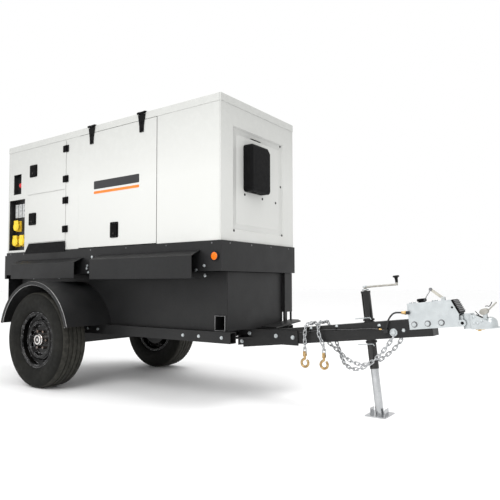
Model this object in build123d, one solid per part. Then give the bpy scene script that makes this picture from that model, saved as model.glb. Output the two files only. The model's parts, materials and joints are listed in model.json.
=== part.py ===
from build123d import *
from math import cos, pi, radians, sin
import os

# Towable diesel generator.  Millimetres, +Z up, +X towards the hitch, +Y the trailer's left.
# The origin is on the ground, under the middle of the whole machine.

os.makedirs("parts", exist_ok=True)

# ---------------------------------------------------------------- driving dimensions
HOUSE_FRONT = 468.0
HOUSE_REAR = -1960.0
HOUSE_HALF = 444.0
HOUSE_FLOOR = 1056.0
HOUSE_TOP = 2004.0
ROOF_LIP = 54.0
SHEET = 4.0

BAND_FRONT = 478.0
BAND_REAR = -1966.0
BAND_HALF = 450.0
BAND_BOTTOM = 860.0
BUMPER_REAR = -1991.0

TANK_FRONT = 438.0
TANK_REAR = -1900.0
TANK_HALF = 338.0
TANK_BOTTOM = 473.0
TANK_TOP = 858.0

RAIL_INNER = 325.0
RAIL_OUTER = 388.0
RAIL_BOTTOM = 400.0
RAIL_TOP = 472.0
RAIL_FRONT = 498.0
RAIL_REAR = -1940.0
TUBE_WALL = 5.0
LIFTING_TUBE = (342.0, 426.0, 474.0, 572.0)
STEP_RISE = 4.5
GUARD_BOTTOM = 569.0
GUARD_INNER = 330.0
GUARD_OUTER = 433.0
SKIRT_BOTTOM = 560.0

WHEEL_X = -1107.0
TYRE_R = 359.5
TRACK = 1228.0
TYRE_HALF_WIDTH = 112.5
BEAD_R = 191.0
LUG_CIRCLE_R = 69.85
SPINDLE_R = 17.5
RUN_CLEARANCE = 0.1
ARM_LENGTH = 150.0
AXLE_Z = 362.0
AXLE_HALF = 35.0
FENDER_R = 440.0
FENDER_OUTER_Y = 740.0
FENDER_INNER_Y = 339.0
FENDER_LOW = 474.0

# Doors: the gull-wing doors hang from the roof, the control doors from upright hinges.
DOOR_X0 = -955.0
DOOR_X1 = -99.0
DOOR_Z0 = 1062.0
DOOR_Z1 = 1946.0
DOOR_FACE = 448.0
DOOR_SKIN = 3.0
TOP_HINGE_Y = 456.0
TOP_HINGE_Z = 1998.0
TOP_HINGES_X = (-799.0, -246.0)
CONTROL_X0 = -1659.0
CONTROL_X1 = -1125.0
CONTROL_UPPER_Z = (1548.0, 1944.0)
CONTROL_LOWER_Z = (1132.0, 1540.0)
CONTROL_HINGE_X = -1119.0
CONTROL_HINGE_Y = -453.0
CONTROL_HINGES_Z = (1874.0, 1628.0, 1454.0, 1222.0)

OUTLET_X = (-1945.0, -1703.0)
OUTLET_Z = (1076.0, 1522.0)
OUTLET_BACK = -384.0
ESTOP_X = (-1883.0, -1764.0)
ESTOP_Z = (1570.0, 1747.0)
ESTOP_BACK = -399.0
RECEPTACLES = ((-1880.0, 1292.0), (-1895.0, 1158.0), (-1788.0, 1158.0))

# Tongue: a square tube that climbs towards the hitch.  Its own frame has X along the tube.
TONGUE_ANCHOR = (734.0, 0.0, 435.5)
TONGUE_RISE = 6.4
TONGUE_HALF = 51.0
TONGUE_WALL = 6.0
TONGUE_START = -385.0
TONGUE_END = 926.0
JACK_U = 537.0
JACK_TUBE_R = 27.5
JACK_BOTTOM = -226.0
JACK_TOP = 238.0
CRANK_LENGTH = 200.0
ACTUATOR_REAR = 800.0
ACTUATOR_FRONT = 1066.0
ACTUATOR_TOP = 140.0
ACTUATOR_LOW = -8.0
ACTUATOR_HALF = 58.0
EAR_U = 1090.0
BALL_U = 1220.0
BALL_W = -2.0
COUPLER_FOOT = -28.0
COUPLER_FOOT_HALF = 41.7
BALL_R = 29.5
LATCH_U = 1196.0
LATCH_W = 60.0
BREAKAWAY_U = 1000.0
BREAKAWAY_Y = -34.0
BREAKAWAY_W = 151.0

CHAIN_WIRE_R = 3.5
CHAIN_PITCH = 28.0
CHAIN_HALF_LENGTH = 19.5
CHAIN_BOW_R = 9.5
HOOK_Y = -78.0
HOOK_Z = 277.0
HOOK_R = 24.0
HOOK_BAR_R = 8.0
HOOK_START = 98.0
HOOK_SWEEP = 302.0
HOOK_PIN_Z = 343.0
HOOKS_X = (860.0, 996.0)


# ---------------------------------------------------------------- helpers
def block(x0, x1, y0, y1, z0, z1):
    """A box between two corners."""
    return Pos((x0 + x1) / 2, (y0 + y1) / 2, (z0 + z1) / 2) * Box(x1 - x0, y1 - y0, z1 - z0)


def rod(start, end, radius):
    """A round bar between two points."""
    path = Vector(*end) - Vector(*start)
    plane = Plane(origin=start, z_dir=path)
    return extrude(plane * Circle(radius), path.length)


def turned(points, angle=360):
    """A solid of revolution about Z from (radius, height) points."""
    outline = [(r, 0, z) for r, z in points]
    return revolve(make_face(Polyline(outline, close=True)), Axis.Z, angle)


def side_profile(points, x0, x1):
    """A solid along X from (y, z) points."""
    face = make_face(Polyline([(x0, y, z) for y, z in points], close=True))
    return extrude(face, x1 - x0, dir=(1, 0, 0))


def long_profile(points, y0, y1):
    """A solid along Y from (x, z) points."""
    face = make_face(Polyline([(x, y0, z) for x, z in points], close=True))
    return extrude(face, y1 - y0, dir=(0, 1, 0))


def hexagon(radius, height):
    """A hexagon prism on Z with a small washer face under it."""
    return extrude(RegularPolygon(radius, 6), height) + Pos(0, 0, height / 8) * Cylinder(
        radius * 1.25, height / 4
    )


def other_side(shape):
    """The same piece on the other side of the machine."""
    return mirror(shape, Plane.XZ)


def group(*shapes):
    """Separate solids held in one node."""
    solids = []
    for shape in shapes:
        solids.extend(shape.solids())
    return Compound(solids)


def save(name, shape):
    """Write one node."""
    export_step(shape, f"parts/{name}.step")


on_tongue = Pos(*TONGUE_ANCHOR) * Rot(0, -TONGUE_RISE, 0)


# ---------------------------------------------------------------- wheels and axle
def place_wheel(shape, side):
    """Turn a piece made about Z, outboard up, onto the wheel centre of one side."""
    return Pos(WHEEL_X, side * TRACK / 2, TYRE_R) * Rot(-90 * side, 0, 0) * shape


def tyre():
    """Radial trailer tyre: a C section with four grooves round the tread."""
    outline = [
        Line((BEAD_R, 0, 78), (211, 0, 78)),
        ThreePointArc((211, 0, 78), (272, 0, TYRE_HALF_WIDTH - 1), (345, 0, 95)),
        ThreePointArc((345, 0, 95), (353.5, 0, 90.5), (356.5, 0, 82)),
        ThreePointArc((356.5, 0, 82), (TYRE_R, 0, 0), (356.5, 0, -82)),
        ThreePointArc((356.5, 0, -82), (353.5, 0, -90.5), (345, 0, -95)),
        ThreePointArc((345, 0, -95), (272, 0, -TYRE_HALF_WIDTH + 1), (211, 0, -78)),
        Line((211, 0, -78), (BEAD_R, 0, -78)),
        Line((BEAD_R, 0, -78), (BEAD_R, 0, -60)),
        ThreePointArc((BEAD_R, 0, -60), (262, 0, -98), (334, 0, -80)),
        ThreePointArc((334, 0, -80), (345, 0, 0), (334, 0, 80)),
        ThreePointArc((334, 0, 80), (262, 0, 98), (BEAD_R, 0, 60)),
        Line((BEAD_R, 0, 60), (BEAD_R, 0, 78)),
    ]
    body = revolve(make_face(outline), Axis.Z)
    for height in (-52, -18, 18, 52):
        body -= turned([(351, height - 4), (365, height - 4), (365, height + 4), (351, height + 4)])
    return body


def rim():
    """Pressed steel wheel: drop-centre barrel and stepped disc with hand holes."""
    barrel = turned([
        (209, 79), (209, 85), (192, 85), (186, 79), (186, 40), (160, 26), (160, -26), (186, -40),
        (186, -79), (192, -85), (209, -85), (209, -79), (190.5, -79), (190.5, -37),
        (164, -23), (164, 23), (190.5, 37), (190.5, 79),
    ])
    disc = turned([
        (162, 4), (162, 18), (152, 54), (138, 62), (122, 62), (106, 34), (44, 34), (44, 28),
        (108, 28), (124, 56), (137, 56), (146, 50), (155, 4),
    ])
    wheel = Rot(0, 0, 9.5) * (barrel + disc)
    for turn in range(8):
        wheel -= Rot(0, 0, 22.5 + 45 * turn) * (Pos(115, 0, 45) * Box(11, 36, 50))
    for turn in range(6):
        wheel -= Rot(0, 0, 60 * turn) * (Pos(LUG_CIRCLE_R, 0, 31) * Cylinder(7.5, 20))
    return wheel


def hub():
    """Hub with its brake drum and grease cap, and the six lug nuts on their studs."""
    bore = SPINDLE_R + RUN_CLEARANCE
    drum = turned([
        (bore, -74), (41, -74), (41, 8), (128, 8), (128, -74), (140, -74), (140, 18), (95, 18),
        (95, 28), (42, 28), (42, 62), (30, 72), (0, 76), (0, 46), (bore, 46),
    ])
    nuts = []
    for turn in range(6):
        nut = Pos(0, 0, 34) * extrude(RegularPolygon(11, 6), 20) + Pos(0, 0, 31) * Cylinder(7, 6)
        nuts.append(Rot(0, 0, 60 * turn) * Pos(LUG_CIRCLE_R, 0, 0) * nut)
    return group(drum, *nuts)


def torsion_arm(side):
    """Trailing arm with its torsion stub, wheel spindle and brake backing plate."""
    pivot_x = WHEEL_X + ARM_LENGTH
    arm = Plane.XZ.offset(440) * (
        Pos(pivot_x, AXLE_Z) * Circle(33) + Pos(WHEEL_X, TYRE_R) * Circle(30)
        + Pos((pivot_x + WHEEL_X) / 2, (AXLE_Z + TYRE_R) / 2) * Rectangle(ARM_LENGTH, 52)
    )
    shape = extrude(arm, 28)
    shape += rod((pivot_x, -300, AXLE_Z), (pivot_x, -450, AXLE_Z), 24)
    shape += rod((WHEEL_X, -460, TYRE_R), (WHEEL_X, -530, TYRE_R), 27)
    shape += rod((WHEEL_X, -460, TYRE_R), (WHEEL_X, -TRACK / 2 - 40, TYRE_R), SPINDLE_R)
    shape += rod((WHEEL_X, -534, TYRE_R), (WHEEL_X, -538, TYRE_R), 138)
    return shape if side < 0 else other_side(shape)


def axle_tube():
    """Square torsion axle tube with the two pads that it hangs from the rails by."""
    x = WHEEL_X + ARM_LENGTH
    inner = AXLE_HALF - 6
    tube = block(x - AXLE_HALF, x + AXLE_HALF, -432, 432, AXLE_Z - AXLE_HALF, AXLE_Z + AXLE_HALF)
    tube -= block(x - inner, x + inner, -433, 433, AXLE_Z - inner, AXLE_Z + inner)
    for side in (-1, 1):
        middle = side * (RAIL_INNER + RAIL_OUTER) / 2
        tube += block(x - 60, x + 60, middle - 25, middle + 25, AXLE_Z + AXLE_HALF, RAIL_BOTTOM)
    return tube


for side, name in ((-1, "right"), (1, "left")):
    save(f"tyre_{name}", place_wheel(tyre(), side))
    save(f"rim_{name}", place_wheel(rim(), side))
    save(f"hub_{name}", place_wheel(hub(), side))
    save(f"torsion_arm_{name}", torsion_arm(side))
save("axle_tube", axle_tube())


def fender():
    """Round fender of bent sheet with a turned-down outer lip."""
    centre = Pos(WHEEL_X, 0, TYRE_R) * Rot(90, 0, 0)
    outer = centre * Cylinder(FENDER_R, 2 * FENDER_OUTER_Y)
    inner = centre * Cylinder(FENDER_R - 3, 2 * FENDER_OUTER_Y + 2)
    lip = centre * (Cylinder(FENDER_R, 2 * FENDER_OUTER_Y) - Cylinder(FENDER_R - 26, 3000))
    keep = block(-1600, -600, -FENDER_OUTER_Y, -FENDER_INNER_Y, FENDER_LOW, 900)
    edge = block(-1600, -600, -FENDER_OUTER_Y, -FENDER_OUTER_Y + 3, FENDER_LOW, 900)
    return ((outer - inner) & keep) + (lip & edge)


save("fenders", group(fender(), other_side(fender())))


# ---------------------------------------------------------------- trailer frame
def tube_x(x0, x1, y0, y1, z0, z1):
    """Rectangular tube along X."""
    wall = TUBE_WALL
    return block(x0, x1, y0, y1, z0, z1) - block(x0 - 1, x1 + 1, y0 + wall, y1 - wall, z0 + wall, z1 - wall)


def tube_y(x0, x1, y0, y1, z0, z1):
    """Rectangular tube along Y."""
    wall = TUBE_WALL
    return block(x0, x1, y0, y1, z0, z1) - block(x0 + wall, x1 - wall, y0 - 1, y1 + 1, z0 + wall, z1 - wall)


def trailer_frame():
    """Welded frame: rails, cross members, the lifting pocket's four plates, front step and guard."""
    pieces = []
    for side in (-1, 1):
        low, high = sorted((side * RAIL_INNER, side * RAIL_OUTER))
        pieces.append(tube_x(RAIL_REAR, RAIL_FRONT, low, high, RAIL_BOTTOM, RAIL_TOP))
    for x in (-1935, -1500, -520, 60):
        pieces.append(tube_y(x, x + 60, -RAIL_INNER, RAIL_INNER, RAIL_BOTTOM, RAIL_TOP))
    x0, x1, z0, z1 = LIFTING_TUBE
    for low, high in ((z0, z0 + TUBE_WALL), (z1 - TUBE_WALL, z1)):
        pieces.append(block(x0, x1, -346, 346, low, high))
    for low, high in ((x0, x0 + TUBE_WALL), (x1 - TUBE_WALL, x1)):
        pieces.append(block(low, high, -346, 346, z0 + TUBE_WALL, z1 - TUBE_WALL))
    pieces.append(block(300, 306, -RAIL_INNER, RAIL_INNER, 414, RAIL_TOP))
    step = long_profile([(440, 472), (560, 472), (560, 480), (440, 480)], 60, 444)
    step -= Pos(560, 444, 476) * Rot(0, 0, 45) * Box(70, 70, 40)
    step = Pos(0, 60, 472) * Rot(STEP_RISE, 0, 0) * Pos(0, -60, -472) * step
    step += block(450, 490, 330, 383, RAIL_TOP, 496)
    for low, high, foot in ((GUARD_INNER, GUARD_INNER + 36, 499.5), (GUARD_OUTER - 7, GUARD_OUTER, 505)):
        step += block(446, 460, low, high, foot, GUARD_BOTTOM + 4)
    guard = block(439, 463, GUARD_INNER, GUARD_OUTER, GUARD_BOTTOM, 859)
    guard -= block(442, 460, GUARD_INNER + 3, GUARD_OUTER - 3, GUARD_BOTTOM - 1, 856)
    pieces.append(step + guard)
    return group(*pieces)


save("trailer_frame", trailer_frame())


def receiver():
    """Two cranked side plates that carry the tongue under the front of the frame."""
    near = long_profile([
        (318, 354), (520, 377), (800, 379), (794, 474), (560, 472), (440, 470), (318, 452),
    ], -TONGUE_HALF - 9, -TONGUE_HALF - 1)
    brace = extrude(
        make_face(Polyline([
            (120, -RAIL_INNER, 404), (190, -RAIL_INNER, 404), (440, -60.5, 404), (340, -60.5, 404),
        ], close=True)), 10, dir=(0, 0, 1))
    return group(near, other_side(near), brace, other_side(brace))


save("tongue_receiver", receiver())


def tongue():
    """Square tongue tube, closed at the front, with the jack sleeve through it."""
    half = TONGUE_HALF
    inner = half - TONGUE_WALL
    shape = block(TONGUE_START, TONGUE_END, -half, half, -half, half)
    shape -= block(TONGUE_START - 1, TONGUE_END - 8, -inner, inner, -inner, inner)
    shape += Pos(JACK_U, 0, 0) * Cylinder(JACK_TUBE_R + 5, 2 * half + 8)
    shape -= Pos(JACK_U, 0, 0) * Cylinder(JACK_TUBE_R + 0.2, 200)
    return on_tongue * shape


save("tongue", tongue())


# ---------------------------------------------------------------- tank, skid and side boxes
def fuel_tank():
    """Sheet steel belly tank, notched over the lifting pocket, and the filler neck welded to it."""
    shape = block(TANK_REAR, TANK_FRONT, -TANK_HALF, TANK_HALF, TANK_BOTTOM, TANK_TOP)
    shape = fillet(shape.edges().filter_by(Axis.Z), 8)
    shape -= block(TANK_REAR + 4, 334, -TANK_HALF + 4, TANK_HALF - 4, TANK_BOTTOM + 4, TANK_TOP - 4)
    shape -= block(333, TANK_FRONT - 4, -TANK_HALF + 4, TANK_HALF - 4, 580, TANK_TOP - 4)
    shape -= block(340, 428, -TANK_HALF - 1, TANK_HALF + 1, TANK_BOTTOM - 1, 574)
    shape -= rod((-300, TANK_HALF - 20, 740), (-300, 401, 740), 24)
    neck = rod((-300, TANK_HALF, 740), (-300, 400, 740), 30)
    neck -= rod((-300, TANK_HALF - 1, 740), (-300, 401, 740), 24)
    return group(shape, neck)


save("fuel_tank", fuel_tank())
cap = rod((-300, 400.5, 740), (-300, 424, 740), 37) + rod((-300, 378, 740), (-300, 401, 740), 23.5)
save("fuel_cap", cap + block(-332, -268, 423, 432, 734, 746))


def base_skid():
    """Deep steel skid: a pan turned upside down, with the rear bumper and a skirt plate on its tail."""
    shape = block(BAND_REAR, BAND_FRONT, -BAND_HALF, BAND_HALF, BAND_BOTTOM, HOUSE_FLOOR)
    shape -= block(BAND_REAR + 5, BAND_FRONT - 5, -BAND_HALF + 5, BAND_HALF - 5,
                   BAND_BOTTOM - 1, HOUSE_FLOOR - 6)
    bumper = block(BUMPER_REAR, BAND_REAR, -BAND_HALF, BAND_HALF, 826, 1032)
    bumper -= block(BUMPER_REAR + 5, BAND_REAR + 1, -BAND_HALF + 5, BAND_HALF - 5, 831, 1027)
    for side in (-1, 1):
        bumper -= rod((BUMPER_REAR - 1, 360 * side, 930), (BUMPER_REAR + 6, 360 * side, 930), 34.5)
    skirt = block(BAND_REAR - 6, BAND_REAR - 1, -425, 425, SKIRT_BOTTOM, 829)
    return shape + bumper + skirt


save("base_skid", base_skid())


def side_box(x0, x1, bottom, shoulder, top):
    """Bent sheet box along the side of the skid, open at its ends."""
    outer = -BAND_HALF - 85
    return side_profile([
        (-BAND_HALF, bottom), (outer, bottom), (outer, shoulder), (-BAND_HALF, top),
        (-BAND_HALF, top - 4.5), (outer + 4, shoulder - 3), (outer + 4, bottom + 4),
        (-BAND_HALF, bottom + 4),
    ], x0, x1)


front_box = side_box(-700, 303, 815, 960, 1000)
rear_box = side_box(-1749, -887, 825, 948, 986)
save("side_boxes", group(front_box, rear_box, other_side(front_box), other_side(rear_box)))


# ---------------------------------------------------------------- enclosure
def front_panel():
    """Front wall with a shallow pressed recess and the slot above the document box."""
    shape = block(HOUSE_FRONT - SHEET, HOUSE_FRONT, -HOUSE_HALF, HOUSE_HALF, HOUSE_FLOOR, 1950)
    shape += block(454, HOUSE_FRONT - SHEET, -316, 303, 1128, 1817)
    mouth = Plane.YZ.offset(HOUSE_FRONT + 0.5) * Pos(-6.5, 1472.5) * Rectangle(619, 689)
    floor = Plane.YZ.offset(458) * Pos(-6.5, 1472.5) * Rectangle(596, 666)
    shape -= loft([mouth, floor])
    shape -= block(440, 480, -103, 24, 1772, 1780)
    return shape


def roof_cap():
    """Roof pan with a lip all round and a slotted hot-air outlet over the radiator."""
    x0, x1, half = HOUSE_REAR - 2, HOUSE_FRONT + 2, HOUSE_HALF + 2
    low = HOUSE_TOP - ROOF_LIP
    shape = block(x0, x1, -half, half, low, HOUSE_TOP)
    shape = fillet(shape.edges().group_by(Axis.Z)[-1], 6)
    shape -= block(x0 + SHEET, x1 - SHEET, -half + SHEET, half - SHEET, low - 1, HOUSE_TOP - SHEET)
    for step in range(9):
        x = 200 + 24 * step
        shape -= block(x, x + 12, -260, 260, HOUSE_TOP - 10, HOUSE_TOP + 1)
    return shape


def rear_panel():
    """Rear wall with rows of intake slots."""
    shape = block(HOUSE_REAR, HOUSE_REAR + SHEET, -HOUSE_HALF, HOUSE_HALF, HOUSE_FLOOR, 1950)
    for column in (-240, 0, 240):
        for row in range(12):
            z = 1180 + 40 * row
            shape -= block(HOUSE_REAR - 1, HOUSE_REAR + 5, column - 95, column + 95, z, z + 12)
    return shape


def right_rear_panel():
    """Right rear wall with windows for the control doors, outlets, stop button and cables."""
    y0, y1 = -HOUSE_HALF, -HOUSE_HALF + SHEET
    shape = block(HOUSE_REAR + SHEET, -958, y0, y1, HOUSE_FLOOR, 1950)
    windows = (
        (CONTROL_X0 + 6, CONTROL_X1 - 6, CONTROL_UPPER_Z[0] + 6, CONTROL_UPPER_Z[1] - 6),
        (CONTROL_X0 + 6, CONTROL_X1 - 6, CONTROL_LOWER_Z[0] + 6, CONTROL_LOWER_Z[1] - 6),
        (*OUTLET_X, *OUTLET_Z),
        (*ESTOP_X, *ESTOP_Z),
        (-1610, -1135, HOUSE_FLOOR - 1, 1118),
    )
    for x0, x1, z0, z1 in windows:
        shape -= block(x0, x1, y0 - 1, y1 + 1, z0, z1)
    return shape


side_inner = HOUSE_HALF - SHEET
save("front_panel", front_panel())
save("roof_cap", roof_cap())
save("rear_panel", rear_panel())
save("right_rear_panel", right_rear_panel())
save("right_front_panel", block(-97, HOUSE_FRONT - SHEET, -HOUSE_HALF, -side_inner, HOUSE_FLOOR, 1950))
save("left_front_panel", block(-97, HOUSE_FRONT - SHEET, side_inner, HOUSE_HALF, HOUSE_FLOOR, 1950))
save("left_rear_panel", block(HOUSE_REAR + SHEET, -958, side_inner, HOUSE_HALF, HOUSE_FLOOR, 1950))


def pan_door(x0, x1, z0, z1, inset, depth):
    """Door skin on the right side with a stiffening ring behind it."""
    skin = block(x0, x1, -DOOR_FACE, -DOOR_FACE + DOOR_SKIN, z0, z1)
    back = -DOOR_FACE + DOOR_SKIN
    ring = block(x0 + inset, x1 - inset, back, back + depth, z0 + inset, z1 - inset)
    ring -= block(x0 + inset + 3, x1 - inset - 3, back - 1, back + depth + 1,
                  z0 + inset + 3, z1 - inset - 3)
    return skin + ring


def top_strap(x):
    """Moving leaf of a roof hinge: a tapered strap on the door with its knuckle."""
    y, z = -TOP_HINGE_Y, TOP_HINGE_Z
    leaf = Plane.XZ.offset(DOOR_FACE) * make_face(Polyline(
        [(x - 36, 1987), (x + 36, 1987), (x + 22, 1905), (x + 20, 1861), (x - 20, 1861), (x - 22, 1905)],
        close=True))
    strap = extrude(leaf, 6)
    strap += rod((x - 18, y, z), (x + 18, y, z), 8)
    strap += block(x - 18, x + 18, -DOOR_FACE - 6, -DOOR_FACE, 1980, z)
    strap -= rod((x - 20, y, z), (x + 20, y, z), 4 + RUN_CLEARANCE)
    return strap


def top_bracket(x):
    """Fixed leaf of a roof hinge: a plate on the roof, two knuckles and the pin."""
    y, z = -TOP_HINGE_Y, TOP_HINGE_Z
    shape = block(x - 40, x + 40, -446, -398, HOUSE_TOP, HOUSE_TOP + 4)
    for x0, x1 in ((x - 38, x - 18.5), (x + 18.5, x + 38)):
        shape += rod((x0, y, z), (x1, y, z), 8)
        shape += block(x0, x1, y, -446, HOUSE_TOP, HOUSE_TOP + 4)
    shape += rod((x - 30, y, z), (x + 30, y, z), 4)
    return shape


def control_bracket(z):
    """Fixed leaf of a control door hinge with its pin barrel."""
    shape = block(CONTROL_HINGE_X + 4, CONTROL_HINGE_X + 26, -452, -HOUSE_HALF, z - 27, z + 27)
    shape += rod((CONTROL_HINGE_X, CONTROL_HINGE_Y, z - 27), (CONTROL_HINGE_X, CONTROL_HINGE_Y, z + 27), 5)
    return shape


gull_door = pan_door(DOOR_X0, DOOR_X1, DOOR_Z0, DOOR_Z1, 22, 12)
straps = [top_strap(x) for x in TOP_HINGES_X]
save("door_right", group(gull_door, *straps))
save("door_left", group(other_side(gull_door), *[other_side(strap) for strap in straps]))
save("control_door_upper", pan_door(CONTROL_X0, CONTROL_X1, *CONTROL_UPPER_Z, 18, 8))
save("control_door_lower", pan_door(CONTROL_X0, CONTROL_X1, *CONTROL_LOWER_Z, 18, 8))

brackets = [top_bracket(x) for x in TOP_HINGES_X]
brackets += [other_side(bracket) for bracket in brackets]
brackets += [control_bracket(z) for z in CONTROL_HINGES_Z]
save("hinge_brackets", group(*brackets))


def paddle(x, z, width, height):
    """Paddle of a flush latch, hung from a barrel along its top edge."""
    plate = block(x - width / 2, x + width / 2, -457, -451, z - height / 2, z + height / 2 - 4)
    plate = fillet(plate.edges().filter_by(Axis.Y), 4)
    return plate + rod((x - width / 2, -454, z + height / 2 - 4), (x + width / 2, -454, z + height / 2 - 4), 3)


save("latch_right", paddle(-531, 1180, 66, 96))
save("latch_upper", paddle(-1572, 1748, 84, 84))
save("latch_lower", paddle(-1578, 1335, 84, 84))

flap_face = make_face(Polyline([
    (-1624, -452, 1121), (-1118, -452, 1121), (-1118, -452, 1041), (-1684, -452, 1041),
], close=True))
flap = extrude(flap_face, 3, dir=(0, -1, 0))
flap += rod((-1620, -453.5, 1122), (-1120, -453.5, 1122), 2.5)
save("cable_flap", flap)


def document_box():
    """Moulded box for papers on the front wall, with a stepped corner on its lid."""
    shape = block(458.5, 526, -187, 47, 1400, 1720)
    shape = fillet(shape.edges().filter_by(Axis.X), 22)
    shape -= Pos(520, 47, 1720) * Rot(45, 0, 0) * Box(40, 44, 44)
    shape = chamfer(shape.faces().sort_by(Axis.X)[-1].edges(), 8)
    return shape


save("document_box", document_box())


# ---------------------------------------------------------------- outlets and controls
def pan(x_span, z_span, back):
    """Open black tray behind a window of the wall."""
    x0, x1 = x_span
    z0, z1 = z_span
    face = -side_inner
    return block(x0 - 3, x1 + 3, face, back + 3, z0 - 3, z1 + 3) - block(x0, x1, face - 1, back, z0, z1)


def receptacle(x, z):
    """Round locking receptacle on the tray's back wall, with its mounting ears."""
    shape = rod((x, OUTLET_BACK, z), (x, -412, z), 34)
    shape += block(x - 36, x + 36, -392, OUTLET_BACK, z - 44, z + 50)
    return shape


def breaker(x):
    """Tall narrow breaker strip above the receptacles."""
    shape = block(x - 20, x + 20, -402, OUTLET_BACK, 1372, 1490)
    for step in range(3):
        z = 1392 + 38 * step
        shape += block(x - 7, x + 7, -408, -402, z - 9, z + 9)
    return shape


outlet_pieces = [pan(OUTLET_X, OUTLET_Z, OUTLET_BACK), pan(ESTOP_X, ESTOP_Z, ESTOP_BACK)]
outlet_pieces += [receptacle(x, z) for x, z in RECEPTACLES]
outlet_pieces += [breaker(x) for x in (-1896, -1840, -1784)]
save("outlet_panel", group(*outlet_pieces))


def receptacle_cover(x, z):
    """Spring cover of a receptacle, hinged along its top."""
    shape = rod((x, -413, z), (x, -420, z), 40)
    shape += block(x - 30, x + 30, -420, -413, z, z + 48)
    shape += rod((x - 30, -416, z + 50), (x + 30, -416, z + 50), 5)
    shape += rod((x, -420, z), (x, -424, z), 26)
    return shape


for index, (x, z) in enumerate(RECEPTACLES):
    save(f"receptacle_cover_{index + 1}", receptacle_cover(x, z))

estop = turned([(0, 0), (8, 0), (8, 12), (20, 14), (21, 22), (17, 27), (0, 28)])
save("estop_button", Pos(-1800, ESTOP_BACK - 7, 1651) * Rot(90, 0, 0) * estop)

control = block(-1650, -1135, -376, -372, 1552, 1932)
control += block(-1600, -1420, -384, -376, 1720, 1850)
for column in range(3):
    control += rod((-1370 + 80 * column, -376, 1790), (-1370 + 80 * column, -382, 1790), 30)
for column in range(6):
    x = -1590 + 80 * column
    control += rod((x, -376, 1640), (x, -390, 1640), 12)
save("control_panel", control)


# ---------------------------------------------------------------- engine and alternator
def engine():
    """Four-cylinder diesel: sump, crankcase, head, rocker cover and flywheel housing."""
    case = block(-900, -260, -190, 190, 1160, 1420) - block(-880, -280, -160, 160, 1150, 1390)
    case += block(-900, -260, -150, 150, 1420, 1560) - block(-880, -280, -120, 120, 1430, 1545)
    case += block(-860, -300, -90, 90, 1560, 1620)
    case += block(-880, -360, -170, 170, 1110, 1165)
    case += Pos(-920, 0, 1330) * Rot(0, 90, 0) * Cylinder(230, 40)
    for x in (-820, -340):
        case += block(x - 30, x + 30, -220, 220, HOUSE_FLOOR, 1111)
    for cylinder in range(4):
        x = -820 + 140 * cylinder
        case += rod((x, -150, 1490), (x, -230, 1490), 22)
        case += rod((x, 0, 1620), (x, 0, 1640), 20)
    case += block(-860, -340, -262, -225, 1460, 1520)
    return case


save("engine_block", engine())

generator_barrel = Pos(-1220, 0, 1330) * Rot(0, 90, 0) * (Cylinder(220, 558) - Pos(0, 0, -20) * Cylinder(190, 480))
generator_barrel += block(-1400, -1040, -200, -140, HOUSE_FLOOR, 1180)
generator_barrel += block(-1400, -1040, 140, 200, HOUSE_FLOOR, 1180)
generator_barrel += block(-1440, -1180, -130, 130, 1500, 1640)
save("alternator", generator_barrel)


def radiator():
    """Cooling pack: core with two header tanks and the fan shroud ring."""
    shape = block(200, 250, -330, 330, HOUSE_FLOOR, 1760)
    shape += block(190, 260, -340, 340, 1760, 1820)
    ring = Pos(185, 0, 1380) * Rot(0, 90, 0) * (Cylinder(292, 30) - Cylinder(280, 32))
    return shape + ring


save("radiator", radiator())


def fan():
    """Engine fan: hub and seven twisted blades."""
    shape = Pos(150, 0, 1380) * Rot(0, 90, 0) * Cylinder(55, 44)
    for turn in range(7):
        blade = Pos(150, 0, 155) * Rot(0, 0, 32) * Box(6, 74, 220)
        shape += Pos(0, 0, 1380) * Rot(360 * turn / 7, 0, 0) * blade
    return shape


fan_body = fan() + rod((-259, 0, 1380), (150, 0, 1380), 22)
save("fan", fan_body)

battery = block(-1860, -1600, 180, 350, HOUSE_FLOOR, 1256)
for x in (-1820, -1640):
    battery += rod((x, 230, 1256), (x, 230, 1274), 9)
save("battery", battery)

muffler = Pos(-220, -120, 1760) * Rot(0, 90, 0) * (Cylinder(85, 560) - Cylinder(80, 550))
muffler += rod((40, -120, 1760), (130, -120, 1760), 28) - rod((60, -120, 1760), (131, -120, 1760), 25)
muffler -= rod((50, -120, 1760), (66, -120, 1760), 25)
muffler += rod((-420, -120, 1676), (-420, -120, 1640), 28)
save("muffler", muffler)


# ---------------------------------------------------------------- lamps
def lamp(x, y, z, direction):
    """Round lamp with a domed lens in a grommet."""
    lens = turned([(0, 0), (34, 0), (34, 5), (28, 5), (28, 9), (18, 13), (0, 14)])
    return Plane(origin=(x, y, z), z_dir=direction) * lens


lamps = [lamp(427, side * BAND_HALF, 955, (0, side, 0)) for side in (-1, 1)]
lamps += [lamp(BUMPER_REAR + 14, 360 * side, 930, (-1, 0, 0)) for side in (-1, 1)]
save("lamps", group(*lamps))


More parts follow.
